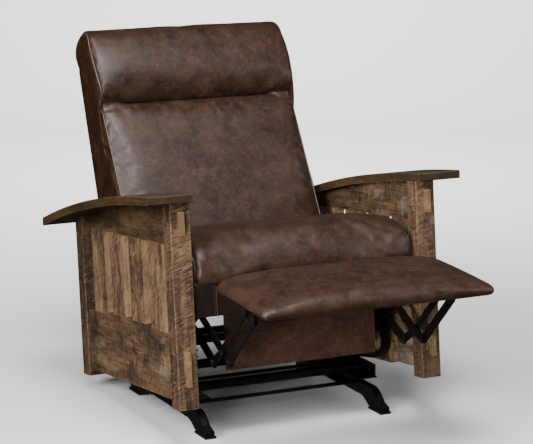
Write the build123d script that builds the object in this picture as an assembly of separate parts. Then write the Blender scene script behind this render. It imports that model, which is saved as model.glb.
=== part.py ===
from build123d import *
from math import asin, atan2, cos, degrees, hypot, pi, radians, sin, sqrt
import os

# Rocker recliner with slatted wooden sides, leather seat, back and footrest, on a steel rocker base.
# It is stored as it stands in use: rocked back, footrest open, back leaning.
# Room frame: X to the viewer's right, Y to the back, Z up, floor at 0, origin at the middle of the footprint.
# Chair frame: Y along the level seat frame and Z along the posts, from the foot of the front posts' front
# faces, at mid width. It tilts back in the room with the chair. Lengths are millimetres, angles degrees.

# Stance
rest_tilt = 6.15
post_foot_height = 109.6
rock_forward = 11.0
rock_back = 2.0
rock_axis_setback = 335.0
cut_overrun = 40.0
face_gap = 0.1
soft_gap = 0.6
soft_stations = 16

# Wooden sides
chair_width = 736.6
side_depth = 668.2
post_width = 53.8
post_depth = 48.5
post_chamfer = 2.0
arm_width = 121.0
arm_inner_overhang = 2.1
arm_front_overhang = 22.0
arm_rear_overhang = 79.0
arm_thickness = 21.0
arm_crest_setback = -100.0
arm_crest_rise = 128.5
arm_rear_drop = 87.9
arm_edge_chamfer = 2.5
rail_thickness = 22.0
rail_recess = 9.5
top_rail_height = 405.0
lower_rail_height = 18.0
lower_rail_depth = 162.0
lower_rail_rise = 10.0
slat_count = 4
slat_width = 90.0
slat_thickness = 19.0
tenon_thickness = 12.7
tenon_proud = 14.0
tenon_root = 20.0
stub_tenon_start = 2.0
stub_tenon_depth = 18.0
stub_tenon_reach = 32.0
top_tenon_start = 26.0
top_tenon_depth = 58.0
lower_tenon_start = 40.5
lower_tenon_depth = 86.5
peg_radius = 6.0
peg_proud = 4.5
peg_margin = 7.5
board_thickness = 22.0
board_start = 170.0
board_end = 500.0
insert_radius = 6.5
insert_proud = 1.5
insert_depth = 12.0
insert_height = 40.6
insert_inset = 148.0

# Steel side mechanism, in layers across the chair from the base rail outwards
base_rail_half_span = 240.0
base_rail_width = 20.0
layer_clearance = 2.0
rivet_head = 2.0
link_thickness = 4.0
layer_gap = 1.0
rivet_radius = 5.0
rivet_head_radius = 8.0
running_clearance = 0.05
open_pivot_clearance = 0.15

# Footrest linkage with the footrest open: places in the chair frame as (setback, height)
fold_angle = 81.5
carrier_front = (-200.0, 261.0)
carrier_middle = (-49.0, 140.0)
carrier_knee = (10.0, 108.0)
outer_link_offset = (-42.0, -19.0)
rear_link_width = 28.0
front_link_width = 24.0
carrier_link_width = 20.0
outer_link_width = 24.0

# Footrest
footrest_slope = 8.5
footrest_rear = (-97.0, 299.0)
footrest_closed = (6.0, 294.0)
footrest_half_width = 306.0
footrest_length = 290.0
footrest_thickness = 46.0
footrest_side_thickness = 33.0
footrest_corner = 38.0
footrest_nose_corner = 20.0
footrest_board_thickness = 12.0
footrest_board_half_width = 282.0
footrest_board_inset = 26.0
footrest_board_depth = 230.0
bracket_flange = 24.0
bracket_flange_thickness = 3.0
bracket_rear_inset = 80.0
bracket_front_inset = 62.0
bracket_eye_radius = 13.0

# Seat box and seat
box_setback = 14.0
box_board = 22.0
box_height = 224.0
box_board_depth = 74.0
box_half_width = 304.0
box_rear_setback = 500.0
side_board_end = 562.0
cover_thickness = 2.0
cover_turn = 12.0
seat_wire_radius = 1.8
seat_wire_count = 4
seat_wire_loops = 14
seat_wire_half_width = 24.0
seat_wire_spacing = 118.0
seat_half_width = 304.0
seat_front = -5.0
seat_front_height = 424.0
seat_rear_height = 392.0
seat_rear = 427.0
seat_rear_lean = 24.0
seat_roll_depth = 62.0
seat_crown = 6.0
seat_end_round = 16.0
seat_end_drop = 8.0
skirt_half_width = 211.0
skirt_setback = 60.0
skirt_thickness = 6.0
skirt_height = 74.0
skirt_cleat_half_width = 200.0
skirt_cleat_depth = 26.0

# Back, with its own directions: up along the front face and rearwards square to it
back_lean = 25.5
back_foot = (438.9, 319.5)
back_half_width = 284.0
back_bottom_height = 330.0
back_groove_rise = 462.0
back_shell_rise = 616.0
back_parting_foot = 150.0
back_parting_top = 86.0
back_rear_foot = 237.6
back_rear_top = 122.0
back_shell_wall = 3.0
back_crown = 10.0
back_corner = 14.0
back_foot_round = 30.0
back_brow_round = 24.0
back_groove_depth = 10.0
pillow_bulge_share = 0.365
pillow_brow_rise = 629.0
pillow_crest_rise = 676.0
pillow_bulge = 32.0
pillow_brow = 24.0
pillow_crest_front = 20.0
pillow_crest_rear = 80.0
pillow_depth = 98.0
pillow_corner = 22.0
stile_thickness = 22.0
back_rail_depth = 45.0
recline_pivot = (545.0, 272.0)
recline_pin_radius = 6.0
recline_eye_radius = 16.0
recline_bracket_width = 28.0

# Mechanism plates, rails and cross bars
plate_front = 50.0
plate_end = 575.0
rail_start = 150.0
rail_end = 520.0
rail_height = 130.0
rail_depth = 20.0
lobe_setback = 265.0
lobe_height = 104.0
cross_bar_size = 20.0
cross_bar_wall = 2.0
front_bar_setback = 290.0
rear_bar_setback = 400.0
bar_height = 110.0
bolt_radius = 4.0
bolt_head_radius = 7.0
bolt_head_depth = 3.5

# Rocker cams and base
cam_width = 20.0
cam_thickness = 8.0
cam_nose_radius = 20.0
cam_flank = 132.0
cam_end_radius = 60.0
cam_running_gap = 0.3
platform_top = 93.6
platform_half_length = 110.0
platform_wall = 4.0
base_half_length = 256.0
leg_bar_bottom = 25.0
leg_bar_top = 57.0
glide_thickness = 6.0
glide_width = 30.0
glide_length = 70.0
toe_height = 27.0
heel_run = 40.0
shoulder_run = 50.0
tube_radius = 12.5
tube_wall = 1.5
tube_height = 92.6
tube_setback = 100.0
tie_rod_radius = 5.0
tie_rod_height = 51.0
tube_bracket_thickness = 4.0
tube_bracket_half_length = 34.0
tube_bracket_margin = 8.0
spring_plate_width = 44.0
spring_plate_thickness = 4.0
spring_plate_x = 205.0
spring_spacing = 64.0
spring_wire_radius = 2.5
spring_radius = 15.5
spring_turns = 7
spring_seat_gap = 0.3

# Sizes worked out from the ones above
half_chair = chair_width / 2
rail_outer = half_chair - rail_recess
rail_inner = rail_outer - rail_thickness
post_inner = half_chair - post_width
board_inner = rail_inner - board_thickness
rail_top = rail_height + rail_depth
base_rail_outer = base_rail_half_span + base_rail_width
inner_layer = base_rail_outer + layer_clearance + rivet_head
outer_layer = inner_layer + link_thickness + layer_gap
plate_outer = outer_layer + link_thickness
cam_inner = plate_outer + rivet_head + layer_clearance
cam_outer = cam_inner + cam_width
box_top = box_height + box_board_depth
seat_base_height = box_top + 2 * seat_wire_radius + face_gap
tilt_cos = cos(radians(rest_tilt))
tilt_sin = sin(radians(rest_tilt))
rock_axis_height = platform_top + cam_nose_radius


def turned(vector, angle):
    """A (setback, height) vector turned by an angle that carries setback towards height."""
    y, z = vector
    c = cos(radians(angle))
    s = sin(radians(angle))
    return (y * c - z * s, y * s + z * c)


def plus(a, b, share=1):
    """Point a moved by a share of vector b."""
    return (a[0] + share * b[0], a[1] + share * b[1])


def between(a, b):
    """The vector from a to b."""
    return (b[0] - a[0], b[1] - a[1])


def to_chair(setback, height):
    """A place in the room, from the foot of the front posts and the floor, given in the chair frame."""
    rise = height - post_foot_height
    return (setback * tilt_cos - rise * tilt_sin, setback * tilt_sin + rise * tilt_cos)


def seen(x, point):
    """A side-view place (setback, height) put at a distance x across the chair."""
    return (x, point[0], point[1])


def side_face(x, runs):
    """A closed side-view face at x: each run is two points of a line or three of an arc."""
    edges = []
    for run in runs:
        places = [seen(x, point) for point in run]
        if len(places) == 2:
            edges.append(Edge.make_line(*places))
        else:
            edges.append(Edge.make_three_point_arc(*places))
    return Face(Wire(edges))


def closed_runs(points):
    """The straight runs that join points and close their ring."""
    return [(points[i - 1], points[i]) for i in range(len(points))]


def slab(x_start, x_end, runs):
    """A side-view outline carried across the chair from x_start to x_end."""
    return Solid.extrude(side_face(x_start, runs), Vector(x_end - x_start, 0, 0))


def slab_of_points(x_start, x_end, points):
    """A slab with a straight-sided outline."""
    return slab(x_start, x_end, closed_runs(points))


def block(x_range, y_range, z_range):
    """A box between pairs of limits."""
    size = [high - low for low, high in (x_range, y_range, z_range)]
    middle = [(high + low) / 2 for low, high in (x_range, y_range, z_range)]
    return Pos(*middle) * Box(*size)


def rod(x_start, x_end, point, radius):
    """A round bar across the chair at a side-view place."""
    middle = ((x_start + x_end) / 2, point[0], point[1])
    return Pos(*middle) * Rot(0, 90, 0) * Cylinder(radius, x_end - x_start)


def mirrored(shape):
    """The same piece on the other side of the chair."""
    return mirror(shape, about=Plane.YZ)


def link_outline(points, width):
    """A flat link: round-ended bars from pivot to pivot."""
    body = None
    for a, b in zip(points, points[1:]):
        run = between(a, b)
        middle = plus(a, run, 1 / 2)
        angle = degrees(atan2(run[1], run[0]))
        bar = Pos(*middle) * Rot(0, 0, angle) * SlotCenterToCenter(hypot(*run), width)
        body = bar if body is None else body + bar
    return body


def flat_link(x_start, points, width, holes):
    """A link of sheet steel, with its holes given as (place, radius)."""
    outline = link_outline(points, width)
    for place, radius in holes:
        outline -= Pos(*place) * Circle(radius)
    return Plane.YZ.offset(x_start) * extrude(outline, link_thickness)


def corner_inset(x, half_width, radius):
    """How far a rounded end draws in at x: a quarter circle of the radius at the end."""
    short = max(0, radius - (half_width - abs(x)))
    return radius - sqrt(radius ** 2 - short ** 2)


def soft_loft(half_width, section):
    """A smooth form across the chair through side-view sections that crowd towards its ends."""
    shares = [cos(pi * i / soft_stations) for i in range(soft_stations + 1)]
    return loft([section(half_width * share, abs(share)) for share in shares])


# Wooden sides
def arm_surface(setback, radius):
    """Height of the bent arm's surface of a given bend radius at a setback."""
    drop = setback - arm_crest_setback
    centre_height = arm_crest_height - arm_bend_radius
    return centre_height + sqrt(radius ** 2 - drop ** 2)


def arm_arc(start, end, radius):
    """Three places along an arm surface."""
    return [(y, arm_surface(y, radius)) for y in (start, (start + end) / 2, end)]


arm_crest_height = top_rail_height + arm_crest_rise
arm_run = side_depth - arm_crest_setback
arm_bend_radius = (arm_run ** 2 + arm_rear_drop ** 2) / (2 * arm_rear_drop)
under_radius = arm_bend_radius - arm_thickness


def arm_plank():
    """Bent plank that caps a side, its top and underside on one centre."""
    start = -arm_front_overhang
    end = side_depth + arm_rear_overhang
    top = arm_arc(start, end, arm_bend_radius)
    under = arm_arc(start, end, under_radius)
    runs = [top, (top[2], under[2]), under[::-1], (under[0], top[0])]
    inner = post_inner - arm_inner_overhang
    plank = slab(inner, inner + arm_width, runs)
    return chamfer(plank.edges().filter_by(Axis.X), arm_edge_chamfer)


def above_arm(start, end):
    """Everything over the arm's underside, to trim the pieces that stand under it."""
    under = arm_arc(start - cut_overrun, end + cut_overrun, under_radius)
    high = arm_crest_height + cut_overrun
    ceiling = [(under[2][0], high), (under[0][0], high)]
    runs = [under, (under[2], ceiling[0]), (ceiling[0], ceiling[1]), (ceiling[1], under[0])]
    return slab(post_inner - cut_overrun, half_chair + cut_overrun, runs)


def side_rail(bottom, top_runs, tenons):
    """A rail between the posts, with its tenons given as (height, depth, start, end)."""
    start = post_depth
    end = side_depth - post_depth
    runs = [((start, bottom), (end, bottom)), ((end, bottom), top_runs[-1]), top_runs[::-1]]
    runs.append((top_runs[0], (start, bottom)))
    rail = slab(rail_inner, rail_outer, runs)
    x_range = (rail_inner, rail_inner + tenon_thickness)
    for height, depth, tenon_start, tenon_end in tenons:
        rail += block(x_range, (tenon_start, tenon_end), (height, height + depth))
    return rail


def lower_rail_top():
    """Arched top edge of the lower rail."""
    start = post_depth
    end = side_depth - post_depth
    height = lower_rail_height + lower_rail_depth
    return [(start, height), ((start + end) / 2, height + lower_rail_rise), (end, height)]


def top_rail_edge():
    """Top edge of the top rail, against the arm."""
    return arm_arc(post_depth, side_depth - post_depth, under_radius)


def peg_places():
    """Where pegs lock the tenons: (setback, height) on a side's outer face."""
    front = post_depth / 2
    rear = side_depth - post_depth / 2
    low = lower_rail_height + lower_tenon_start
    places = [
        (front, top_rail_height + top_tenon_start + top_tenon_depth / 2),
        (rear, top_rail_height + stub_tenon_start + stub_tenon_depth / 2),
    ]
    for setback in (front, rear):
        places.append((setback, low + peg_margin))
        places.append((setback, low + lower_tenon_depth - peg_margin))
    return places


def peg(place):
    """Round peg with a domed head, driven through the post into the tenon."""
    start = rail_inner + tenon_thickness / 2
    tip = half_chair + peg_proud
    dome_radius = (peg_radius ** 2 + peg_proud ** 2) / (2 * peg_proud)
    half_angle = asin(peg_radius / dome_radius) / 2
    brow = (tip - dome_radius + dome_radius * cos(half_angle), dome_radius * sin(half_angle))
    edges = [
        Edge.make_line((start, 0), (start, peg_radius)),
        Edge.make_line((start, peg_radius), (half_chair, peg_radius)),
        Edge.make_three_point_arc((half_chair, peg_radius), brow, (tip, 0)),
        Edge.make_line((tip, 0), (start, 0)),
    ]
    return Pos(0, *place) * revolve(Face(Wire(edges)), Axis.X)


def side_rails():
    """Lower rail with through tenons at both ends, and top rail with one in front and a stub behind."""
    front = (-tenon_proud, post_depth + tenon_root)
    rear_start = side_depth - post_depth - tenon_root
    low = (lower_rail_height + lower_tenon_start, lower_tenon_depth)
    high = (top_rail_height + top_tenon_start, top_tenon_depth)
    stub = (top_rail_height + stub_tenon_start, stub_tenon_depth)
    rear_through = (rear_start, side_depth + tenon_proud)
    rear_stub = (rear_start, side_depth - post_depth + stub_tenon_reach)
    lower = side_rail(lower_rail_height, lower_rail_top(), [(*low, *front), (*low, *rear_through)])
    top = side_rail(top_rail_height, top_rail_edge(), [(*high, *front), (*stub, *rear_stub)])
    return lower, top


def side_post(start, fitted):
    """A post whose head follows the arm, morticed and drilled for the pieces fitted in it."""
    post = block((post_inner, half_chair), (start, start + post_depth), (0, arm_crest_height))
    post = chamfer(post.edges().filter_by(Axis.Z), post_chamfer)
    post -= above_arm(0, side_depth)
    for piece in fitted:
        post -= piece
    return post


def side_slats(lower):
    """Flat slats between the rails, evenly spaced between the posts."""
    opening = side_depth - 2 * post_depth
    gap = (opening - slat_count * slat_width) / (slat_count + 1)
    inner = rail_inner + (rail_thickness - slat_thickness) / 2
    z_range = (lower_rail_height + lower_rail_depth / 2, top_rail_height)
    slats = []
    for i in range(slat_count):
        start = post_depth + gap + i * (slat_width + gap)
        slat = block((inner, inner + slat_thickness), (start, start + slat_width), z_range)
        slats.append(slat - lower)
    return slats


def rail_insert(setback):
    """Steel insert set in the lower rail from inside."""
    start = rail_inner - insert_proud
    return rod(start, rail_inner + insert_depth, (setback, insert_height), insert_radius)


def mounting_board(bolts):
    """Board on the inside of a side that the mechanism hangs on."""
    x_range = (board_inner, rail_inner)
    board = block(x_range, (board_start, board_end), (lower_rail_height, rail_top))
    for bolt in bolts:
        board -= bolt
    return board


# Footrest linkage
link_offset = between(carrier_middle, carrier_knee)


def front_link_arm():
    """The front link's reach from its plate pivot to the carrier, that folds the footrest home."""
    corner = between(carrier_front, footrest_rear)
    closed_front = plus(footrest_closed, turned(corner, fold_angle), -1)
    travel = between(carrier_front, closed_front)
    c = cos(radians(fold_angle)) - 1
    s = sin(radians(fold_angle))
    scale = c ** 2 + s ** 2
    return ((c * travel[0] + s * travel[1]) / scale, (c * travel[1] - s * travel[0]) / scale)


front_pivot = plus(carrier_middle, front_link_arm(), -1)
rear_pivot = plus(front_pivot, link_offset)
outer_foot = plus(carrier_middle, outer_link_offset)
outer_head = plus(carrier_front, outer_link_offset)


def footrest_links():
    """The four flat links of one side."""
    fixed = rivet_radius
    running = rivet_radius + running_clearance
    loose = rivet_radius + open_pivot_clearance
    rear = flat_link(
        inner_layer, [rear_pivot, carrier_knee], rear_link_width,
        [(rear_pivot, running), (carrier_knee, fixed)],
    )
    front = flat_link(
        inner_layer, [front_pivot, carrier_middle, outer_foot], front_link_width,
        [(front_pivot, running), (carrier_middle, fixed), (outer_foot, fixed)],
    )
    carrier = flat_link(
        outer_layer, [carrier_knee, carrier_middle, carrier_front], carrier_link_width,
        [(carrier_knee, loose), (carrier_middle, running), (carrier_front, running)],
    )
    outer = flat_link(
        outer_layer, [outer_foot, outer_head], outer_link_width,
        [(outer_foot, running), (outer_head, loose)],
    )
    return rear, front, carrier, outer


def rivet(place):
    """A shouldered rivet through both layers, headed on each side."""
    shank = rod(inner_layer - rivet_head, plate_outer + rivet_head, place, rivet_radius)
    inner = rod(inner_layer - rivet_head, inner_layer - face_gap, place, rivet_head_radius)
    outer = rod(plate_outer + face_gap, plate_outer + rivet_head, place, rivet_head_radius)
    return shank + inner + outer


def plate_rivet(place):
    """A rivet that holds a link on the mechanism plate, flush with the plate outside."""
    shank = rod(inner_layer - rivet_head, plate_outer, place, rivet_radius)
    return shank + rod(inner_layer - rivet_head, inner_layer - face_gap, place, rivet_head_radius)


# Footrest
def footrest_place(point):
    """A place in the chair frame given from the footrest's rear lower edge, along and off its board."""
    return turned(between(footrest_rear, point), -footrest_slope)


def lay_footrest(shape):
    """Carries a piece made level behind its nose to its place in the chair frame."""
    return Pos(0, *footrest_rear) * Rot(footrest_slope, 0, 0) * shape


def footrest_section(x, rear, nose, thickness):
    """Pad outline: flat below, rounded rear edge, crowned top and a full round nose."""
    nose_share = 0.5
    crown_share = 0.12
    rear_share = 0.45
    nose_middle = -nose + thickness * crown_share
    rear_end = (-rear, 0)
    rear_top = (-rear - thickness * rear_share, thickness)
    rear_middle = (-rear - thickness * crown_share, thickness * (1 - crown_share * 2))
    nose_top = (-nose + thickness * nose_share, thickness * (1 - crown_share))
    nose_tip = (-nose, thickness * nose_share)
    nose_high = (nose_middle, thickness * (1 - crown_share * 2))
    nose_low = (nose_middle, thickness * crown_share)
    nose_end = (-nose + thickness * nose_share, 0)
    top_middle = ((rear_top[0] + nose_top[0]) / 2, thickness * (1 + crown_share / 2))
    runs = [(rear_end, rear_middle, rear_top), (rear_top, top_middle, nose_top)]
    runs += [(nose_top, nose_high, nose_tip), (nose_tip, nose_low, nose_end), (nose_end, rear_end)]
    return side_face(x, runs)


def footrest_pad():
    """Padded leather pad over its board, crowned, with rounded rear corners."""
    def section(x, share):
        swell = (footrest_thickness - footrest_side_thickness) * (1 - share ** 4)
        rear = corner_inset(x, footrest_half_width, footrest_corner)
        nose = footrest_length - corner_inset(x, footrest_half_width, footrest_nose_corner)
        return footrest_section(x, rear, nose, footrest_side_thickness + swell)
    return soft_loft(footrest_half_width, section) - footrest_board()


def footrest_board():
    """Plywood board in the underside of the pad."""
    half = footrest_board_half_width
    end = -footrest_board_inset
    return block((-half, half), (end - footrest_board_depth, end), (0, footrest_board_thickness))


def footrest_bracket():
    """Steel angle under the board that carries the two front pivots of a side."""
    front_eye = footrest_place(carrier_front)
    outer_eye = footrest_place(outer_head)
    start = -footrest_length + bracket_front_inset
    end = -bracket_rear_inset
    eyes = link_outline([front_eye, outer_eye], 2 * bracket_eye_radius)
    low = front_eye[1] + bracket_eye_radius / 2
    points = [(start, 0), (end, 0), (end, low / 2), front_eye, outer_eye, (start, low / 2)]
    web = eyes + make_face(Polyline(*points, close=True))
    web -= Pos(-footrest_length / 2, footrest_length) * Rectangle(
        2 * footrest_length, 2 * footrest_length
    )
    for eye in (front_eye, outer_eye):
        web -= Pos(*eye) * Circle(rivet_radius)
    web = Plane.YZ.offset(inner_layer) * extrude(web, link_thickness)
    x_range = (inner_layer - bracket_flange, inner_layer + link_thickness)
    return web + block(x_range, (start, end), (-bracket_flange_thickness, 0))


# Seat box, seat and skirt
def front_rail():
    """Wooden front rail of the seat box."""
    y_range = (box_setback, box_setback + box_board)
    return block((-box_half_width, box_half_width), y_range, (box_height, box_top))


def front_cover():
    """Leather over the front rail's face, turned onto its top and underside."""
    wrap = block(
        (-box_half_width, box_half_width),
        (box_setback - cover_thickness, box_setback + cover_turn),
        (box_height - cover_thickness, box_top + cover_thickness),
    )
    return wrap - front_rail()


def side_board():
    """Side board of the seat box, on the outside of the mechanism plate."""
    y_range = (box_setback + box_board, side_board_end)
    return block((plate_outer, plate_outer + box_board), y_range, (box_height, box_top))


def rear_rail():
    """Rear rail of the seat box, between the mechanism plates."""
    y_range = (box_rear_setback, box_rear_setback + box_board)
    return block((-outer_layer, outer_layer), y_range, (box_height, box_top))


def sinuous_wire(x):
    """One zigzag seat spring in a level plane, from the front rail to the rear rail."""
    start = box_setback + cover_turn + 2 * seat_wire_radius
    pitch = (box_rear_setback + box_board / 2 - start) / seat_wire_loops
    radius = pitch / 2
    reach = seat_wire_half_width - radius
    height = box_top + seat_wire_radius
    edges = []
    for i in range(seat_wire_loops):
        side = 1 if i % 2 == 0 else -1
        y = start + i * pitch
        edges.append(Edge.make_line((x - side * reach, y, height), (x + side * reach, y, height)))
        end = x + side * reach
        bulge = (end + side * radius, y + radius, height)
        edges.append(Edge.make_three_point_arc((end, y, height), bulge, (end, y + pitch, height)))
    last = x + reach * (1 if seat_wire_loops % 2 == 0 else -1)
    y = start + seat_wire_loops * pitch
    edges.append(Edge.make_line((2 * x - last, y, height), (x, y, height)))
    path = Wire(edges)
    section = Face(Wire.make_circle(seat_wire_radius, Plane(path @ 0, z_dir=path % 0)))
    return Solid.sweep(section, path)


def seat_section(x, inset):
    """Seat cushion outline: full front roll, crowned top, rear that clears the leaning back."""
    front = seat_front + inset
    low = seat_base_height
    high = seat_front_height - inset
    rear_high = seat_rear_height - inset
    roll = front + seat_roll_depth
    middle = (low + high) / 2
    arch_share = 0.3
    low_run = (front + (roll - front) * arch_share, low + (middle - low) * arch_share)
    high_run = (front + (roll - front) * arch_share, high - (high - middle) * arch_share)
    rear_top = (seat_rear + seat_rear_lean - inset / 2, rear_high)
    rear_low = (seat_rear - inset / 2, low)
    crown = ((roll + rear_top[0]) / 2, (high + rear_high) / 2 + seat_crown)
    runs = [((roll, low), low_run, (front, middle)), ((front, middle), high_run, (roll, high))]
    runs += [((roll, high), crown, rear_top), (rear_top, rear_low), (rear_low, (roll, low))]
    return side_face(x, runs)


def seat_cushion():
    """Seat cushion with a crown and drawn-in ends."""
    def section(x, share):
        drawn = corner_inset(x, seat_half_width, seat_end_round) + seat_end_drop * share ** 4
        return seat_section(x, drawn)
    return soft_loft(seat_half_width, section)


def skirt_panel():
    """Leather-covered panel that hangs under the front of the seat."""
    y_range = (skirt_setback, skirt_setback + skirt_thickness)
    z_range = (skirt_height, box_height + skirt_cleat_depth)
    return block((-skirt_half_width, skirt_half_width), y_range, z_range)


def skirt_cleat():
    """Wooden cleat behind the front rail that the skirt panel is stapled to."""
    y_range = (box_setback + box_board, skirt_setback)
    z_range = (box_height, box_height + skirt_cleat_depth)
    return block((-skirt_cleat_half_width, skirt_cleat_half_width), y_range, z_range)


# Back
back_up = (sin(radians(back_lean)), cos(radians(back_lean)))
back_off = (cos(radians(back_lean)), -sin(radians(back_lean)))


def back_point(rise, depth):
    """A place on the back: up along its front face and rearwards square to it."""
    return plus(plus(back_foot, back_up, rise), back_off, depth)


def parting(rise):
    """Depth of the seam plane between the back cushion and the outer shell."""
    return back_parting_foot + (back_parting_top - back_parting_foot) * rise / back_shell_rise


def rear_depth(rise):
    """Depth of the back's rear face."""
    return back_rear_foot + (back_rear_top - back_rear_foot) * rise / back_shell_rise


def rise_at_bottom(foot_depth, top_depth):
    """Rise where a sloping plane of the back meets the level bottom edge."""
    slope = (top_depth - foot_depth) / back_shell_rise
    lift = back_bottom_height - back_foot[1] - foot_depth * back_off[1]
    return lift / (back_up[1] + slope * back_off[1])


bottom_front_rise = rise_at_bottom(0, 0)
bottom_seam_rise = rise_at_bottom(back_parting_foot, back_parting_top)
bottom_rear_rise = rise_at_bottom(back_rear_foot, back_rear_top)


pillow_bulge_rise = back_groove_rise + (pillow_brow_rise - back_groove_rise) * pillow_bulge_share


def back_section(x, crown, inset):
    """Back cushion outline: crowned front, rolled into the groove under the pillow."""
    seam_low = back_point(bottom_seam_rise, parting(bottom_seam_rise))
    seam_high = back_point(back_shell_rise, parting(back_shell_rise))
    groove = back_point(back_groove_rise, back_groove_depth)
    low = bottom_front_rise + back_foot_round
    high = back_groove_rise - back_brow_round
    toe_rise = rise_at_bottom(back_foot_round, back_foot_round)
    toe = back_point(toe_rise, back_foot_round)
    round_share = 0.3
    heel_rise = toe_rise + (low - toe_rise) * round_share
    heel = back_point(heel_rise, inset + (back_foot_round - inset) * round_share)
    foot = back_point(low, inset)
    swell = back_point((low + high) / 2, inset - crown)
    brow = back_point(high, inset)
    lip_depth = inset + (back_groove_depth - inset) * round_share
    lip = back_point(back_groove_rise - back_brow_round * round_share, lip_depth)
    runs = [(seam_low, toe), (toe, heel, foot), (foot, swell, brow)]
    runs += [(brow, lip, groove), (groove, seam_high), (seam_high, seam_low)]
    return side_face(x, runs)


def back_cushion():
    """Front two thirds of the back, with a crown and drawn-in sides."""
    def section(x, share):
        inset = corner_inset(x, back_half_width, back_corner) / 2
        return back_section(x, back_crown * (1 - share ** 4) + soft_gap, inset)
    return soft_loft(back_half_width, section)


def pillow_section(x, inset):
    """Head pillow outline: full bolster in front, rolled over the top to the rear seam."""
    start = back_point(back_groove_rise + 2 * soft_gap, back_groove_depth)
    round_share = 0.3
    tip = back_point(pillow_bulge_rise, inset - pillow_bulge)
    swell = pillow_bulge + back_groove_depth - inset
    lower_rise = back_groove_rise + (pillow_bulge_rise - back_groove_rise) * round_share
    lower = back_point(lower_rise, inset - pillow_bulge + swell * round_share)
    face = back_point((pillow_bulge_rise + pillow_brow_rise) / 2, inset - pillow_bulge - soft_gap)
    brow = back_point(pillow_brow_rise, inset - pillow_brow)
    crest = pillow_crest_rise - inset
    front_crest = back_point(crest, pillow_crest_front)
    front_rise = crest - (crest - pillow_brow_rise) * round_share
    shoulder = back_point(front_rise, inset - pillow_brow + (pillow_crest_front + pillow_brow) * round_share)
    summit = back_point(crest + inset / 3 + soft_gap, (pillow_crest_front + pillow_crest_rear) / 2)
    rear_crest = back_point(crest, pillow_crest_rear)
    heel_rise = back_shell_rise + 2 * soft_gap
    heel = back_point(heel_rise, back_parting_top + back_groove_depth / 2)
    nape_rise = crest - (crest - heel_rise) / 2
    nape = back_point(nape_rise, pillow_depth)
    seam = back_point(heel_rise, back_parting_top)
    runs = [(start, lower, tip), (tip, face, brow), (brow, shoulder, front_crest)]
    runs += [(front_crest, summit, rear_crest), (rear_crest, nape, heel), (heel, seam), (seam, start)]
    return side_face(x, runs)


def head_pillow():
    """Stuffed head pillow across the top of the back."""
    def section(x, share):
        drawn = corner_inset(x, back_half_width, pillow_corner) * 3 / 4
        return pillow_section(x, drawn)
    return soft_loft(back_half_width, section)


def back_depth_slab(x_range, low_rise, high_rise, front_inset, rear_inset):
    """A piece of the back between the seam plane and the rear face over a range of rise."""
    points = [
        back_point(low_rise, parting(low_rise) + front_inset),
        back_point(high_rise, parting(high_rise) + front_inset),
        back_point(high_rise, rear_depth(high_rise) - rear_inset),
        back_point(low_rise, rear_depth(low_rise) - rear_inset),
    ]
    return slab_of_points(x_range[0], x_range[1], points)


def back_shell():
    """Leather-covered outer shell: sides, rear and top, open to the cushion and below."""
    half = back_half_width
    corner = back_shell_wall * 3
    points = [
        back_point(bottom_seam_rise, parting(bottom_seam_rise)),
        back_point(back_shell_rise, parting(back_shell_rise)),
        back_point(back_shell_rise, rear_depth(back_shell_rise) - corner),
        back_point(back_shell_rise - corner, rear_depth(back_shell_rise)),
        back_point(bottom_rear_rise, rear_depth(bottom_rear_rise)),
    ]
    outer = slab_of_points(-half, half, points)
    inner_half = half - back_shell_wall
    top = back_shell_rise - back_shell_wall
    hollow = back_depth_slab((-inner_half, inner_half), 0, top, -cut_overrun, back_shell_wall)
    return outer - hollow


def back_frame():
    """Stiles and rails inside the shell."""
    bottom = bottom_rear_rise + back_shell_wall
    top = back_shell_rise - back_shell_wall
    outer = inner_layer
    inner = outer - stile_thickness
    stile = back_depth_slab((inner, outer), bottom, top, 0, back_shell_wall)
    rails = []
    span = top - bottom
    for low in (bottom, bottom + (span - back_rail_depth) / 2, top - back_rail_depth):
        high = low + back_rail_depth
        rails.append(back_depth_slab((-inner, inner), low, high, 0, back_shell_wall))
    return stile, rails


def recline_bracket():
    """Steel arm from the recline pivot up to the side of a stile."""
    low_rise = bottom_rear_rise + recline_bracket_width
    depth = (parting(low_rise) + rear_depth(low_rise)) / 2
    knee = back_point(low_rise - recline_bracket_width / 2, depth)
    head_rise = low_rise + 3 * recline_bracket_width
    head = back_point(head_rise, (parting(head_rise) + rear_depth(head_rise)) / 2)
    heel = (knee[0] - recline_bracket_width, recline_pivot[1])
    outline = link_outline([recline_pivot, heel, knee, head], recline_bracket_width)
    outline += Pos(*recline_pivot) * Circle(recline_eye_radius)
    outline -= Pos(*recline_pivot) * Circle(recline_pin_radius + running_clearance)
    return Plane.YZ.offset(inner_layer) * extrude(outline, link_thickness)


def recline_pin():
    """Pin of the recline pivot, fixed in the plate, with a head inside the bracket."""
    head = rod(inner_layer - rivet_head, inner_layer - face_gap, recline_pivot, recline_pin_radius * 3 / 2)
    return head + rod(inner_layer - rivet_head, plate_outer, recline_pivot, recline_pin_radius)


# Mechanism plates, rails and cross bars
def bolt_places():
    """Bolts that hold the mechanism rail to the mounting board: (setback, height)."""
    height = rail_height + rail_depth / 2
    inset = 2 * rail_depth
    start = max(rail_start, board_start) + inset
    end = min(rail_end, board_end) - inset
    return [(start, height), ((start + end) / 2, height), (end, height)]


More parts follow.
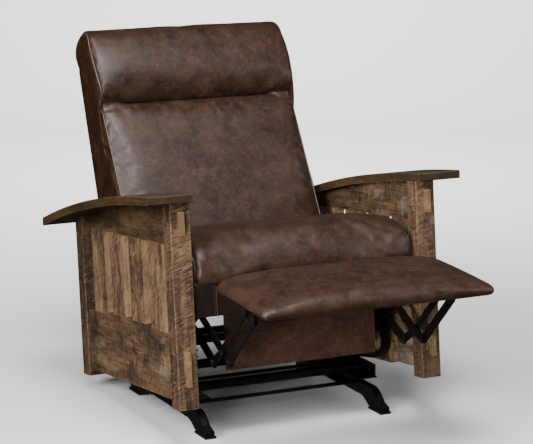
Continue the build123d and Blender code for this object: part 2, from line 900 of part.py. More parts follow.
def mechanism_plate():
    """Side plate that carries the footrest links, the recline pivot, the cross bars and the seat box."""
    eye = rear_link_width
    nose_height = front_pivot[1] - front_link_width
    points = [
        (plate_front, box_top - rail_depth),
        (plate_front, nose_height + rail_depth / 2),
        (front_pivot[0] - eye, nose_height),
        (rear_pivot[0] - eye, rear_pivot[1] - eye),
        (rear_pivot[0], rail_height),
        (lobe_setback, rail_height),
        (lobe_setback, lobe_height),
        (rear_bar_setback + 2 * cross_bar_size, lobe_height),
        (recline_pivot[0], recline_pivot[1] - 2 * recline_eye_radius),
        (plate_end, recline_pivot[1] - recline_eye_radius),
        (plate_end, box_top),
        (front_pivot[0], box_top),
    ]
    plate = slab_of_points(outer_layer, plate_outer, points)
    for place in (front_pivot, rear_pivot):
        plate -= rod(outer_layer, plate_outer, place, rivet_radius)
    return plate - rod(outer_layer, plate_outer, recline_pivot, recline_pin_radius)


def mechanism_rail():
    """Steel rail that bolts the mechanism plate and the cam to the wooden side."""
    x_range = (plate_outer, board_inner)
    rail = block(x_range, (rail_start, rail_end), (rail_height, rail_top))
    for place in bolt_places():
        rail -= rod(plate_outer, board_inner, place, bolt_radius)
        rail -= rod(plate_outer, cam_inner, place, bolt_head_radius)
    return rail


def mechanism_bolt(place):
    """Bolt through the mechanism rail into the mounting board, its head sunk in the rail."""
    head = rod(cam_inner - bolt_head_depth + face_gap, cam_inner, place, bolt_head_radius)
    return head + rod(cam_inner, board_inner + board_thickness / 2, place, bolt_radius)


def cross_bar(setback):
    """Square tube between the two mechanism plates."""
    y_range = (setback, setback + cross_bar_size)
    z_range = (bar_height, bar_height + cross_bar_size)
    span = (-outer_layer, outer_layer)
    bores = [(low + cross_bar_wall, high - cross_bar_wall) for low, high in (y_range, z_range)]
    return block(span, y_range, z_range) - block(span, *bores)


def upper_spring_plate():
    """Plate under the cross bars that the rocker springs push on."""
    half = spring_plate_width / 2
    x_range = (spring_plate_x - half, spring_plate_x + half)
    y_range = (front_bar_setback, rear_bar_setback + cross_bar_size)
    return block(x_range, y_range, (bar_height - spring_plate_thickness, bar_height))


# Rocker cams
def cam_profile_side(forward):
    """Outer and inner runs of half a cam, from its nose outwards and up to the mechanism rail."""
    axis = to_chair(rock_axis_setback, rock_axis_height)
    radius = cam_nose_radius - cam_running_gap
    if forward:
        direction = turned((-1, 0), rest_tilt - rock_forward)
        normal = turned(direction, 90)
        upright = -1
    else:
        direction = turned((1, 0), rest_tilt + rock_back)
        normal = turned(direction, -90)
        upright = 1
    foot = plus(axis, normal, radius)
    flank_end = plus(foot, direction, cam_flank)
    centre = plus(flank_end, normal, -cam_end_radius)
    side = (upright, 0)
    blend = (normal[0] + side[0], normal[1] + side[1])
    length = hypot(*blend)
    blend = (blend[0] / length, blend[1] / length)
    inner_radius = cam_end_radius - cam_thickness
    outer_arc = [flank_end, plus(centre, blend, cam_end_radius), plus(centre, side, cam_end_radius)]
    inner_arc = [plus(centre, way, inner_radius) for way in (normal, blend, side)]
    outer_top = (outer_arc[2][0], rail_height)
    inner_top = (inner_arc[2][0], rail_height)
    return axis, foot, normal, direction, outer_arc, inner_arc, outer_top, inner_top


def inner_meeting(one, other):
    """Where the two inner flank lines of the cam cross."""
    a, first = one
    b, second = other
    gap = between(a, b)
    scale = first[0] * second[1] - first[1] * second[0]
    along = (gap[0] * second[1] - gap[1] * second[0]) / scale
    return plus(a, first, along)


def rocker_cam():
    """Bent steel bar that rocks on the base platform about its nose."""
    front = cam_profile_side(True)
    rear = cam_profile_side(False)
    axis, front_foot, front_normal, front_way, front_arc, front_inner, front_top, front_inner_top = front
    _, rear_foot, rear_normal, rear_way, rear_arc, rear_inner, rear_top, rear_inner_top = rear
    nose_way = (front_normal[0] + rear_normal[0], front_normal[1] + rear_normal[1])
    nose_length = hypot(*nose_way)
    nose_share = (cam_nose_radius - cam_running_gap) / nose_length
    nose = plus(axis, nose_way, nose_share)
    crotch = inner_meeting((front_inner[0], front_way), (rear_inner[0], rear_way))
    runs = [
        (front_foot, nose, rear_foot), (rear_foot, rear_arc[0]), rear_arc, (rear_arc[2], rear_top),
        (rear_top, rear_inner_top), (rear_inner_top, rear_inner[2]), rear_inner[::-1],
        (rear_inner[0], crotch), (crotch, front_inner[0]), front_inner,
        (front_inner[2], front_inner_top), (front_inner_top, front_top), (front_top, front_arc[2]),
        front_arc[::-1], (front_arc[0], front_foot),
    ]
    return slab(cam_inner, cam_outer, runs)


# Base, in the room frame with setbacks from the rocking axis
def base_rail():
    """Low steel side rail with a turned-down foot at each end."""
    toe = -base_half_length
    heel = toe + glide_length + heel_run / 4
    instep = heel + heel_run
    shoulder = toe + toe_height
    brow = shoulder + shoulder_run
    ankle = (leg_bar_top + toe_height) / 2
    arch = (leg_bar_bottom + glide_thickness) / 2
    bend = ((shoulder + brow) / 2 - heel_run / 8, ankle + heel_run / 10)
    half = [
        ((toe, toe_height * 2 / 3), (toe, glide_thickness)),
        ((toe, glide_thickness), (heel, glide_thickness)),
        ((heel, glide_thickness), ((heel + instep) / 2 - heel_run / 8, arch), (instep, leg_bar_bottom)),
        ((instep, leg_bar_bottom), (0, leg_bar_bottom)),
    ]
    crown = [
        ((0, leg_bar_top), (brow, leg_bar_top)),
        ((brow, leg_bar_top), bend, (shoulder, toe_height)),
        ((shoulder, toe_height), (toe, toe_height * 2 / 3)),
    ]
    def rear(run):
        return tuple((-y, z) for y, z in run[::-1])
    lower = half + [rear(run) for run in half[::-1]]
    upper = [rear(run) for run in crown[::-1]] + crown
    return slab(base_rail_half_span, base_rail_outer, lower + upper)


def foot_glide(front):
    """Glide under a foot."""
    middle = base_rail_half_span + base_rail_width / 2
    start = -base_half_length if front else base_half_length - glide_length
    x_range = (middle - glide_width / 2, middle + glide_width / 2)
    return block(x_range, (start, start + glide_length), (0, glide_thickness))


def rocker_platform():
    """Folded steel platform under a cam, on a web across the base rail."""
    half = platform_half_length
    web_top = leg_bar_top + platform_wall
    web = block((base_rail_half_span, cam_outer + platform_wall), (-half, half), (leg_bar_top, web_top))
    hat = block((cam_inner, cam_outer), (-half, half), (web_top, platform_top))
    hollow = block(
        (cam_inner + platform_wall, cam_outer - platform_wall),
        (-half - cut_overrun, half + cut_overrun),
        (web_top, platform_top - platform_wall),
    )
    return web + (hat - hollow)


def base_tube(setback):
    """Round cross tube between the brackets on the base rails."""
    span = base_rail_half_span - tube_bracket_thickness
    place = (setback, tube_height)
    return rod(-span, span, place, tube_radius) - rod(-span, span, place, tube_radius - tube_wall)


def tie_rod(setback):
    """Thin rod between the base rails."""
    return rod(-base_rail_half_span, base_rail_half_span, (setback, tie_rod_height), tie_rod_radius)


def tube_bracket(setback):
    """Stamped bracket on a base rail's inner face that holds a cross tube."""
    half = tube_bracket_half_length
    low = tie_rod_height + tie_rod_radius + face_gap
    high = tube_height + tube_radius + tube_bracket_margin
    points = [
        (setback - half / 2, low), (setback + half / 2, low), (setback + half, tube_height),
        (setback + half / 2, high), (setback - half / 2, high), (setback - half, tube_height),
    ]
    return slab_of_points(base_rail_half_span - tube_bracket_thickness, base_rail_half_span, points)


def lower_spring_plate():
    """Plate on the tie rods that the rocker springs stand on."""
    half = spring_plate_width / 2
    reach = tube_setback + tie_rod_radius
    low = tie_rod_height + tie_rod_radius
    x_range = (spring_plate_x - half, spring_plate_x + half)
    return block(x_range, (-reach, reach), (low, low + spring_plate_thickness))


def biarc(start, start_way, end, end_way):
    """Two arcs that join two places and keep the wire's way at both."""
    chord = end - start
    ways = start_way + end_way
    bend = 2 * (1 - start_way.dot(end_way))
    reach = chord.dot(ways)
    step = (sqrt(reach ** 2 + bend * chord.dot(chord)) - reach) / bend
    joint = (start + end + (start_way - end_way) * step) * (1 / 2)
    first = Edge.make_tangent_arc(start, start_way, joint)
    second = Edge.make_tangent_arc(joint, (first % 1), end)
    return [first, second]


def rocker_spring(place, foot, height):
    """One open coil, a single wire swept up quarter turn by quarter turn."""
    rise = height - 2 * spring_wire_radius - 2 * spring_seat_gap
    quarters = 4 * spring_turns
    climb = rise / quarters
    low = foot + spring_wire_radius + spring_seat_gap

    def on_coil(i):
        angle = i * pi / 2
        x = place[0] + spring_radius * cos(angle)
        y = place[1] + spring_radius * sin(angle)
        return Vector(x, y, low + climb * i)

    def way(i):
        angle = i * pi / 2
        run = spring_radius * pi / 2
        return Vector(-run * sin(angle), run * cos(angle), climb).normalized()

    edges = []
    for i in range(quarters):
        edges += biarc(on_coil(i), way(i), on_coil(i + 1), way(i + 1))
    path = Wire(edges)
    section = Face(Wire.make_circle(spring_wire_radius, Plane(on_coil(0), z_dir=way(0))))
    return Solid.sweep(section, path)


def spring_self_gap(height):
    """Least gap between neighbouring turns, measured on points of the coil."""
    rise = height - 2 * spring_wire_radius - 2 * spring_seat_gap
    pitch = rise / spring_turns
    steps = range(-20, 21)
    least = pitch
    for step in steps:
        turn = 1 + step / 100
        across = 2 * spring_radius * sin(pi * turn)
        least = min(least, hypot(across, pitch * turn))
    return least - 2 * spring_wire_radius


# Assembly
parts = {}


def in_chair(shape):
    """Chair frame to room, before the footprint is centred."""
    return Pos(0, 0, post_foot_height) * Rot(-rest_tilt, 0, 0) * shape


def in_base(shape):
    """Base frame to room, before the footprint is centred."""
    return Pos(0, rock_axis_setback, 0) * shape


def add(name, shapes, place=in_chair):
    """Files a sub-part: one shape or a group of like ones."""
    group = shapes if isinstance(shapes, list) else [shapes]
    parts[name] = [place(shape) for shape in group]


def add_pair(name, shapes, place=in_chair):
    """Files a right-hand sub-part and its mirror image."""
    group = shapes if isinstance(shapes, list) else [shapes]
    add(name + "_right", group, place)
    add(name + "_left", [mirrored(shape) for shape in group], place)


def both(shapes):
    """A group with its mirror images."""
    return shapes + [mirrored(shape) for shape in shapes]


def make_sides():
    pegs = [peg(place) for place in peg_places()]
    inserts = [rail_insert(insert_inset), rail_insert(side_depth - insert_inset)]
    lower, top = side_rails()
    for piece in pegs + inserts:
        lower -= piece
    for piece in pegs:
        top -= piece
    fitted = [lower, top] + pegs
    add_pair("front_post", side_post(0, fitted))
    add_pair("rear_post", side_post(side_depth - post_depth, fitted))
    add_pair("lower_rail", lower)
    add_pair("top_rail", top)
    add_pair("side_slats", side_slats(lower))
    add_pair("arm", arm_plank())
    add("tenon_pegs", both(pegs))
    add("rail_inserts", both(inserts))
    bolts = [mechanism_bolt(place) for place in bolt_places()]
    add("mounting_boards", both([mounting_board(bolts + inserts)]))


def make_seat():
    add("seat_front_rail", front_rail())
    add("seat_front_cover", front_cover())
    add("seat_side_boards", both([side_board()]))
    add("seat_rear_rail", rear_rail())
    offsets = [(i - (seat_wire_count - 1) / 2) * seat_wire_spacing for i in range(seat_wire_count)]
    add("seat_springs", [sinuous_wire(x) for x in offsets])
    add("seat_cushion", seat_cushion())
    add("skirt_panel", skirt_panel())
    add("skirt_cleat", skirt_cleat())


def make_mechanism():
    add_pair("mechanism_plate", mechanism_plate())
    add("mechanism_rails", both([mechanism_rail()]))
    add("mechanism_bolts", both([mechanism_bolt(place) for place in bolt_places()]))
    add("cross_bars", [cross_bar(front_bar_setback), cross_bar(rear_bar_setback)])
    add("upper_spring_plates", both([upper_spring_plate()]))
    add_pair("rocker_cam", rocker_cam())
    add("plate_rivets", both([plate_rivet(place) for place in (front_pivot, rear_pivot)]))
    add("recline_pins", both([recline_pin()]))


def make_footrest():
    rear, front, carrier, outer = footrest_links()
    add("rear_links", both([rear]))
    add("front_links", both([front]))
    add("carrier_links", both([carrier]))
    add("outer_links", both([outer]))
    add("rear_link_rivets", both([rivet(carrier_knee)]))
    add("front_link_rivets", both([rivet(carrier_middle), rivet(outer_foot)]))
    add("footrest_rivets", both([rivet(carrier_front), rivet(outer_head)]))
    add("footrest_brackets", both([lay_footrest(footrest_bracket())]))
    add("footrest_board", lay_footrest(footrest_board()))
    add("footrest_pad", lay_footrest(footrest_pad()))


def make_back():
    stile, rails = back_frame()
    add("back_stiles", both([stile]))
    add("back_rails", rails)
    add("back_shell", back_shell())
    add("back_cushion", back_cushion())
    add("head_pillow", head_pillow())
    add("recline_brackets", both([recline_bracket()]))


def make_base():
    setbacks = (-tube_setback, tube_setback)
    add_pair("base_rail", base_rail(), in_base)
    add("foot_glides", both([foot_glide(True), foot_glide(False)]), in_base)
    add("rocker_platforms", both([rocker_platform()]), in_base)
    add("base_cross_tubes", [base_tube(setback) for setback in setbacks], in_base)
    add("tie_rods", [tie_rod(setback) for setback in setbacks], in_base)
    add("tube_brackets", both([tube_bracket(setback) for setback in setbacks]), in_base)
    add("lower_spring_plates", both([lower_spring_plate()]), in_base)
    foot = tie_rod_height + tie_rod_radius + spring_plate_thickness
    springs = []
    for y in (-spring_spacing / 2, spring_spacing / 2):
        reach = spring_radius + spring_wire_radius
        ceiling = bar_height - spring_plate_thickness - (rock_axis_setback + y + reach) * tilt_sin
        height = ceiling / tilt_cos + post_foot_height - foot
        springs.append(rocker_spring((spring_plate_x, y), foot, height))
        print("rocker spring height", round(height, 2), "self gap", round(spring_self_gap(height), 2))
    add("rocker_springs", both(springs), in_base)


make_base()
make_sides()
make_mechanism()
make_seat()
make_footrest()
make_back()

boxes = [shape.bounding_box() for group in parts.values() for shape in group]
middle = (min(box.min.Y for box in boxes) + max(box.max.Y for box in boxes)) / 2
os.makedirs("parts", exist_ok=True)
for name, group in parts.items():
    moved = [Pos(0, -middle, 0) * shape for shape in group]
    solids = [solid for shape in moved for solid in shape.solids()]
    export_step(solids[0] if len(solids) == 1 else Compound(solids), f"parts/{name}.step")

print("nodes", len(parts), "origin shift", round(middle, 4))


def placed(point):
    """A chair-frame place as (y, z) in the finished frame."""
    y, z = point
    return (
        round(y * tilt_cos + z * tilt_sin - middle, 4),
        round(z * tilt_cos - y * tilt_sin + post_foot_height, 4),
    )


for label, point in (
    ("front pivot", front_pivot), ("rear pivot", rear_pivot), ("carrier middle", carrier_middle),
    ("carrier front", carrier_front), ("outer foot", outer_foot), ("recline pivot", recline_pivot),
):
    print(label, placed(point))
print("rock axis", (round(rock_axis_setback - middle, 4), rock_axis_height))
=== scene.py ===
import math

import bmesh
import bpy
import numpy as np
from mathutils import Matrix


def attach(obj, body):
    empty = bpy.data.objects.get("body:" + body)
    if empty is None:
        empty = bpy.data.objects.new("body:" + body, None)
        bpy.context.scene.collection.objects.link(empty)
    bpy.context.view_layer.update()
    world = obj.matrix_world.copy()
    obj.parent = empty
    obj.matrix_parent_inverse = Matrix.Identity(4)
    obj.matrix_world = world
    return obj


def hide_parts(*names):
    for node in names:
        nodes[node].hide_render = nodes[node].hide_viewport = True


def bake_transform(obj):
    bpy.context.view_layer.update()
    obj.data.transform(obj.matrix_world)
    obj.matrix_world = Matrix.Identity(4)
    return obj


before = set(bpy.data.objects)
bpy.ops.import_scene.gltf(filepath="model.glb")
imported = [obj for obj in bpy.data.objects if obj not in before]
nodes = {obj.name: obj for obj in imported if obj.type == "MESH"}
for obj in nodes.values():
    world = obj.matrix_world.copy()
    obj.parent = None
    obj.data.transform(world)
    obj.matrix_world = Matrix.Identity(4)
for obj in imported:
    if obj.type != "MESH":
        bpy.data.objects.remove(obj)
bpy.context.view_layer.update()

# Studio: the chair is seen from its front left, a little above the arms, through a long lens. It
# stands on a matt white floor that sweeps up far behind it, in the light of six soft square lamps.
camera_data = bpy.data.cameras.new("camera")
camera_data.sensor_width = 36.0
camera_data.lens = 144.9
camera = bpy.data.objects.new("camera", camera_data)
camera.location = (-2.352, -4.914, 1.6225)
view_heading = math.radians(25.54)
camera.rotation_euler = (math.radians(78.353), 0.0, -view_heading)
bpy.context.collection.objects.link(camera)
bpy.context.scene.camera = camera


def linear(code):
    """Scene-linear colour of an sRGB hex code: c/12.92 below 0.04045, else ((c+0.055)/1.055)^2.4."""
    values = [int(code[i : i + 2], 16) / 255 for i in (1, 3, 5)]
    return tuple(v / 12.92 if v <= 0.04045 else ((v + 0.055) / 1.055) ** 2.4 for v in values) + (1.0,)


def add(tree, kind, inputs=None, **settings):
    """Adds a shader node, sets its options, and sets or links each named input."""
    made = tree.nodes.new("ShaderNode" + kind)
    for name, value in settings.items():
        setattr(made, name, value)
    for name, value in (inputs or {}).items():
        if isinstance(value, bpy.types.NodeSocket):
            tree.links.new(value, made.inputs[name])
        else:
            made.inputs[name].default_value = value
    return made


def new_material(name):
    """An empty material with its surface shader."""
    material = bpy.data.materials.new(name)
    material.use_nodes = True
    tree = material.node_tree
    tree.nodes.clear()
    shader = add(tree, "BsdfPrincipled")
    add(tree, "OutputMaterial", {"Surface": shader.outputs[0]})
    return material, tree, shader


def area_light(name, place, aim, size, power, tint="#ffffff", spread=180.0):
    """A soft square lamp at place, turned to face aim, its light kept within the spread."""
    data = bpy.data.lights.new(name, "AREA")
    data.size = size
    data.energy = power
    data.color = linear(tint)[:3]
    data.spread = math.radians(spread)
    lamp = bpy.data.objects.new(name, data)
    lamp.location = place
    way = np.array(aim, float) - np.array(place, float)
    flat = math.hypot(way[0], way[1])
    lamp.rotation_euler = (math.atan2(flat, -way[2]), 0.0, math.atan2(-way[0], way[1]))
    bpy.context.collection.objects.link(lamp)


area_light("key", (-0.66, -1.56, 4.1), (0.0, 0.0, 0.5), size=1.6, power=190.0, tint="#fdfbff")
area_light("left_fill", (-3.3, -1.5, 2.2), (0.2, 0.0, 0.4), size=1.8, power=190.0)
area_light("front_fill", (-2.2, -4.6, 2.3), (0.0, 0.0, 0.4), size=2.0, power=46.0)
area_light("right_fill", (3.0, -2.2, 1.8), (0.0, 0.0, 0.5), size=1.6, power=40.0, tint="#f4f7ff")
area_light("low_left", (-2.3, -2.6, 0.4), (0.5, -0.02, 0.2), size=0.5, power=4.5, spread=40.0)
area_light("background", (1.29, 2.7, 3.6), (2.32, 4.86, 1.8), size=3.0, power=420.0)
world = bpy.data.worlds.new("studio")
world.use_nodes = True
surroundings = world.node_tree.nodes["Background"]
surroundings.inputs["Color"].default_value = (1.0, 1.0, 1.0, 1.0)
surroundings.inputs["Strength"].default_value = 0.06
bpy.context.scene.world = world


def mesh_object(name, points, faces, smooth=True):
    """A mesh object at the origin from a point array and a face list."""
    mesh = bpy.data.meshes.new(name)
    mesh.from_pydata(np.asarray(points, float).tolist(), [], [list(face) for face in faces])
    mesh.polygons.foreach_set("use_smooth", [smooth] * len(mesh.polygons))
    mesh.update()
    made = bpy.data.objects.new(name, mesh)
    bpy.context.collection.objects.link(made)
    return made


# The sweep is flat to 4.5 m behind the chair, then a quarter round of 1.5 m. Rays of gloss and of
# bounced light pass through it, so that the leather stays as deep as it is in the photograph.
floor_material, _, floor_shader = new_material("matt_white_studio_floor")
floor_shader.inputs["Base Color"].default_value = linear("#f4f4f4")
floor_shader.inputs["Roughness"].default_value = 0.9
near_edge, flat_end, round_radius, half_width = -8.0, 4.5, 1.5, 11.0
turn = np.radians(np.arange(0, 91, 7.5))
away = np.concatenate([[near_edge], flat_end + round_radius * np.sin(turn)])
height = np.concatenate([[0.0], round_radius - round_radius * np.cos(turn)])
c, s = math.cos(view_heading), math.sin(view_heading)
points = [
    (side * c + far * s, far * c - side * s, up)
    for far, up in zip(away, height) for side in (-half_width, half_width)
]
strips = [(2 * i, 2 * i + 1, 2 * i + 3, 2 * i + 2) for i in range(len(away) - 1)]
floor = mesh_object("studio_sweep", points, strips)
floor.data.materials.append(floor_material)
floor.visible_glossy = False
floor.visible_diffuse = False


# Wood: rough-sawn reclaimed oak, stained brown and waxed. Saw marks cross the grain at a slant,
# the arrises are worn pale, and old boards keep dark patches and bluish-grey spots.
chair_lean = math.radians(6.15)
tenon_front = -0.2815


def ramp(tree, value, stops):
    """Colour ramp through (position, hex or grey) stops."""
    made = add(tree, "ValToRGB", {"Fac": value})
    bar = made.color_ramp
    while len(bar.elements) < len(stops):
        bar.elements.new(0.5)
    for element, (position, colour) in zip(bar.elements, stops):
        element.position = position
        element.color = linear(colour) if isinstance(colour, str) else (colour, colour, colour, 1.0)
    return made.outputs["Color"]


def mix(tree, share, a, b, blend="MIX"):
    """Mixes two colours: a times (1 - share) plus b times share, or as the blend says."""
    made = add(tree, "Mix", data_type="RGBA", blend_type=blend, clamp_factor=True)
    for socket, value in ((made.inputs[0], share), (made.inputs[6], a), (made.inputs[7], b)):
        if isinstance(value, bpy.types.NodeSocket):
            tree.links.new(value, socket)
        else:
            socket.default_value = linear(value) if isinstance(value, str) else value
    return made.outputs[2]


def noise(tree, vector, scale, detail=4.0, roughness=0.55, distortion=0.0):
    """Fractal noise of scale cells a metre."""
    values = {"Vector": vector, "Scale": scale, "Detail": detail, "Roughness": roughness}
    values["Distortion"] = distortion
    return add(tree, "TexNoise", values).outputs["Fac"]


def math_node(tree, operation, a, b=0.0):
    """One sum on two values."""
    made = add(tree, "Math", operation=operation)
    for socket, value in zip(made.inputs, (a, b)):
        if isinstance(value, bpy.types.NodeSocket):
            tree.links.new(value, socket)
        else:
            socket.default_value = value
    return made.outputs[0]


def chair_coordinates(tree, shift=(0.0, 0.0, 0.0)):
    """Object coordinates turned back by the chair's 6.15 degree lean, so z runs along the posts."""
    place = add(tree, "TexCoord").outputs["Object"]
    turned = add(tree, "Mapping", {"Vector": place}, vector_type="POINT")
    turned.inputs["Rotation"].default_value = (chair_lean, 0.0, 0.0)
    turned.inputs["Location"].default_value = shift
    return turned.outputs[0]


def stretched(tree, vector, scale):
    """Coordinates with each direction scaled."""
    return add(tree, "Mapping", {"Vector": vector, "Scale": scale}, vector_type="POINT").outputs[0]


def board_scale(along, lengthwise, crosswise):
    """Scale of each axis: one value along the board and another across it."""
    return [lengthwise if axis == along else crosswise for axis in "xyz"]


def layer(tree, colour, mask, share, tone):
    """Lays a tone over a colour by mask times share."""
    return mix(tree, math_node(tree, "MULTIPLY", mask, share), colour, tone)


def rough_oak(
    name, along, shift, tones, slant=0.2, saw_scale=330.0, spots=0.0, roughness=0.55, ends=0.0, depth=0.72
):
    """Oak sawn along one axis: long fibres, crosswise saw marks about 1.5 / saw_scale m apart, worn arrises.

    Tones run from dark to light: three for the ground, and one for its streaks and ridges. Spots is the
    share of bluish-grey blots, and depth that of the saw marks. What lies before the setback ends shows a
    paler end grain.
    """
    material, tree, shader = new_material(name)
    place = chair_coordinates(tree, shift)
    slim = board_scale(along, 0.05, 1.0)
    broad = board_scale(along, 0.2, 1.0)
    cross = board_scale(along, 1.0, 0.13)
    fibre = noise(tree, stretched(tree, place, slim), 240.0, 6.0, 0.68, 0.3)
    figure = noise(tree, stretched(tree, place, broad), 30.0, 6.0, 0.64, 0.9)
    patch = noise(tree, place, 9.0, 6.0, 0.66, 0.6)
    leaned = add(tree, "Mapping", {"Vector": place}, vector_type="POINT")
    leaned.inputs["Rotation"].default_value = {
        "x": (0.0, slant, 0.0), "y": (slant, 0.0, slant), "z": (slant, slant, 0.0),
    }[along]
    saw = noise(tree, stretched(tree, leaned.outputs[0], cross), saw_scale, 4.0, 0.6, 0.25)
    where = ramp(tree, noise(tree, place, 19.0, 5.0, 0.7), [(0.38, 0.12), (0.52, 1.0)])
    cut = math_node(tree, "MULTIPLY", ramp(tree, saw, [(0.41, 1.0), (0.465, 0.0)]), where)
    ridge = math_node(tree, "MULTIPLY", ramp(tree, saw, [(0.53, 0.0), (0.61, 1.0)]), where)
    blend = math_node(tree, "MULTIPLY", fibre, 0.5)
    blend = math_node(tree, "ADD", blend, math_node(tree, "MULTIPLY", figure, 0.5))
    colour = ramp(tree, blend, [(0.38, tones[0]), (0.49, tones[1]), (0.6, tones[2])])
    streak = noise(tree, stretched(tree, place, broad), 14.0, 5.0, 0.66, 0.5)
    colour = layer(tree, colour, ramp(tree, streak, [(0.52, 0.0), (0.66, 1.0)]), 0.55, tones[3])
    colour = layer(tree, colour, ramp(tree, patch, [(0.49, 0.0), (0.62, 1.0)]), 0.74, "#1e150e")
    colour = layer(tree, colour, ridge, 0.58 * depth, tones[3])
    colour = layer(tree, colour, cut, depth, "#170f0a")
    split = noise(tree, stretched(tree, place, slim), 75.0, 3.0, 0.5, 0.2)
    crack = ramp(tree, split, [(0.29, 1.0), (0.325, 0.0)])
    colour = layer(tree, colour, crack, 0.85, "#120c08")
    if spots:
        blot = ramp(tree, noise(tree, place, 15.0, 5.0, 0.62, 0.7), [(0.6, 0.0), (0.7, 1.0)])
        colour = layer(tree, colour, blot, spots, "#6a7076")
    if ends:
        setback = add(tree, "SeparateXYZ", {"Vector": chair_coordinates(tree)}).outputs["Y"]
        colour = layer(tree, colour, math_node(tree, "LESS_THAN", setback, ends), 0.34, "#94744e")
    plain = add(tree, "NewGeometry").outputs["Normal"]
    soft = add(tree, "Bevel", {"Radius": 0.0035}, samples=4).outputs[0]
    turnback = add(tree, "VectorMath", operation="DOT_PRODUCT")
    tree.links.new(plain, turnback.inputs[0])
    tree.links.new(soft, turnback.inputs[1])
    edge = ramp(tree, turnback.outputs["Value"], [(0.82, 1.0), (0.985, 0.0)])
    rub = ramp(tree, noise(tree, place, 60.0, 5.0, 0.7), [(0.42, 0.1), (0.6, 1.0)])
    colour = layer(tree, colour, math_node(tree, "MULTIPLY", edge, rub), 0.7, "#a08058")
    tree.links.new(colour, shader.inputs["Base Color"])
    rough = ramp(tree, blend, [(0.3, roughness + 0.2), (0.7, roughness)])
    tree.links.new(rough, shader.inputs["Roughness"])
    shader.inputs["Specular IOR Level"].default_value = 0.3
    height = math_node(tree, "MULTIPLY", fibre, 0.6)
    height = math_node(tree, "ADD", height, math_node(tree, "MULTIPLY", ridge, 0.4))
    height = math_node(tree, "SUBTRACT", height, math_node(tree, "MULTIPLY", cut, 0.7))
    height = math_node(tree, "SUBTRACT", height, crack)
    bump = add(tree, "Bump", {"Height": height, "Strength": 0.75, "Distance": 0.0008})
    tree.links.new(bump.outputs[0], shader.inputs["Normal"])
    return material


def faced(material, axis, test, limit, share, tone):
    """Mixes a tone over the faces whose object-space normal passes the test along one axis; on the slats'
    front edges this tone is painted light.
    """
    tree = material.node_tree
    shader = next(n for n in tree.nodes if n.bl_idname == "ShaderNodeBsdfPrincipled")
    colour = shader.inputs["Base Color"].links[0].from_socket
    parts = add(tree, "SeparateXYZ", {"Vector": add(tree, "TexCoord").outputs["Normal"]})
    chosen = math_node(tree, test, parts.outputs[axis], limit)
    wear_and_painted_light_noise = noise(tree, add(tree, "TexCoord").outputs["Object"], 24.0, 5.0, 0.65)
    uneven = ramp(tree, wear_and_painted_light_noise, [(0.36, 0.35), (0.6, 1.0)])
    # On the slats this tone is painted light, not wear: their front edges are made paler where the front
    # lamps fall.
    worn = layer(tree, colour, math_node(tree, "MULTIPLY", chosen, uneven), share, tone)
    tree.links.new(worn, shader.inputs["Base Color"])


rail_tones = ("#271b11", "#4f3a26", "#725940", "#947958")
post_tones = ("#271a11", "#473323", "#684f38", "#8e7252")
slat_tones = ("#382a1d", "#654d36", "#8b7051", "#b09170")
top_rail_tones = ("#1c130b", "#342413", "#4c381f", "#6f5535")
post_wood = rough_oak("rough_sawn_oak_upright", "z", (0.0, 0.0, 0.0), post_tones, slant=0.34)
slat_wood = rough_oak(
    "rough_sawn_oak_slat", "z", (3.1, 1.7, 0.4), slat_tones, slant=0.75, saw_scale=300.0, depth=0.5
)
# Painted light: the slats' front edges, which face the front lamps, are made paler in colour.
faced(slat_wood, "Y", "LESS_THAN", -0.7, 0.5, "#b2906a")
# Painted light: the right lower rail's inner face lies in the seat's shadow, and these far paler tones paint
# it as if lit.
lit_inner_rail_tones = ("#3c3126", "#6e5b4b", "#97826b", "#b39d85")
painted_light_inner_rail_wood = rough_oak(
    "rough_sawn_oak_inner_rail_painted_light", "y", (1.9, 3.2, 4.6), lit_inner_rail_tones,
    slant=0.05, roughness=0.6, ends=tenon_front, depth=0.45,
)
rail_wood = rough_oak(
    "rough_sawn_oak_rail", "y", (1.3, 4.2, 2.6), rail_tones,
    slant=0.05, spots=0.4, roughness=0.6, ends=tenon_front, depth=0.55,
)
top_rail_wood = rough_oak(
    "rough_sawn_oak_top_rail", "y", (7.3, 0.2, 5.6), top_rail_tones,
    slant=0.7, spots=0.12, roughness=0.6, ends=tenon_front, depth=0.5,
)
arm_tones = ("#21160a", "#372815", "#49371d", "#5c4626")
arm_wood = rough_oak(
    "sawn_oak_arm_waxed", "y", (2.3, 6.2, 1.6), arm_tones, slant=0.05, roughness=0.45, depth=0.35
)
faced(arm_wood, "Z", "GREATER_THAN", 0.7, 0.82, "#33372f")
faced(arm_wood, "Z", "LESS_THAN", -0.7, 0.7, "#33372f")
faced(arm_wood, "Y", "LESS_THAN", -0.7, 0.7, "#2c1d12")
peg_tones = ("#1c130c", "#2e2016", "#423022", "#5a4431")
peg_wood = rough_oak(
    "turned_oak_peg", "x", (5.3, 2.2, 8.6), peg_tones, slant=0.0, saw_scale=200.0, roughness=0.3
)
frame_tones = ("#4a3824", "#6a5438", "#86704e", "#98825f")
frame_wood = rough_oak(
    "planed_frame_timber", "x", (9.3, 1.2, 0.6), frame_tones, slant=0.0, saw_scale=200.0
)


def dress(name, material, bevel=0.0):
    """Gives a CAD node its material and softens its arrises by a bevel of that width."""
    piece = nodes[name]
    piece.data.materials.clear()
    piece.data.materials.append(material)
    if bevel:
        edge = piece.modifiers.new("arris", "BEVEL")
        edge.width = bevel
        edge.segments = 2
        edge.limit_method = "ANGLE"
        edge.angle_limit = math.radians(35)
        edge.harden_normals = False


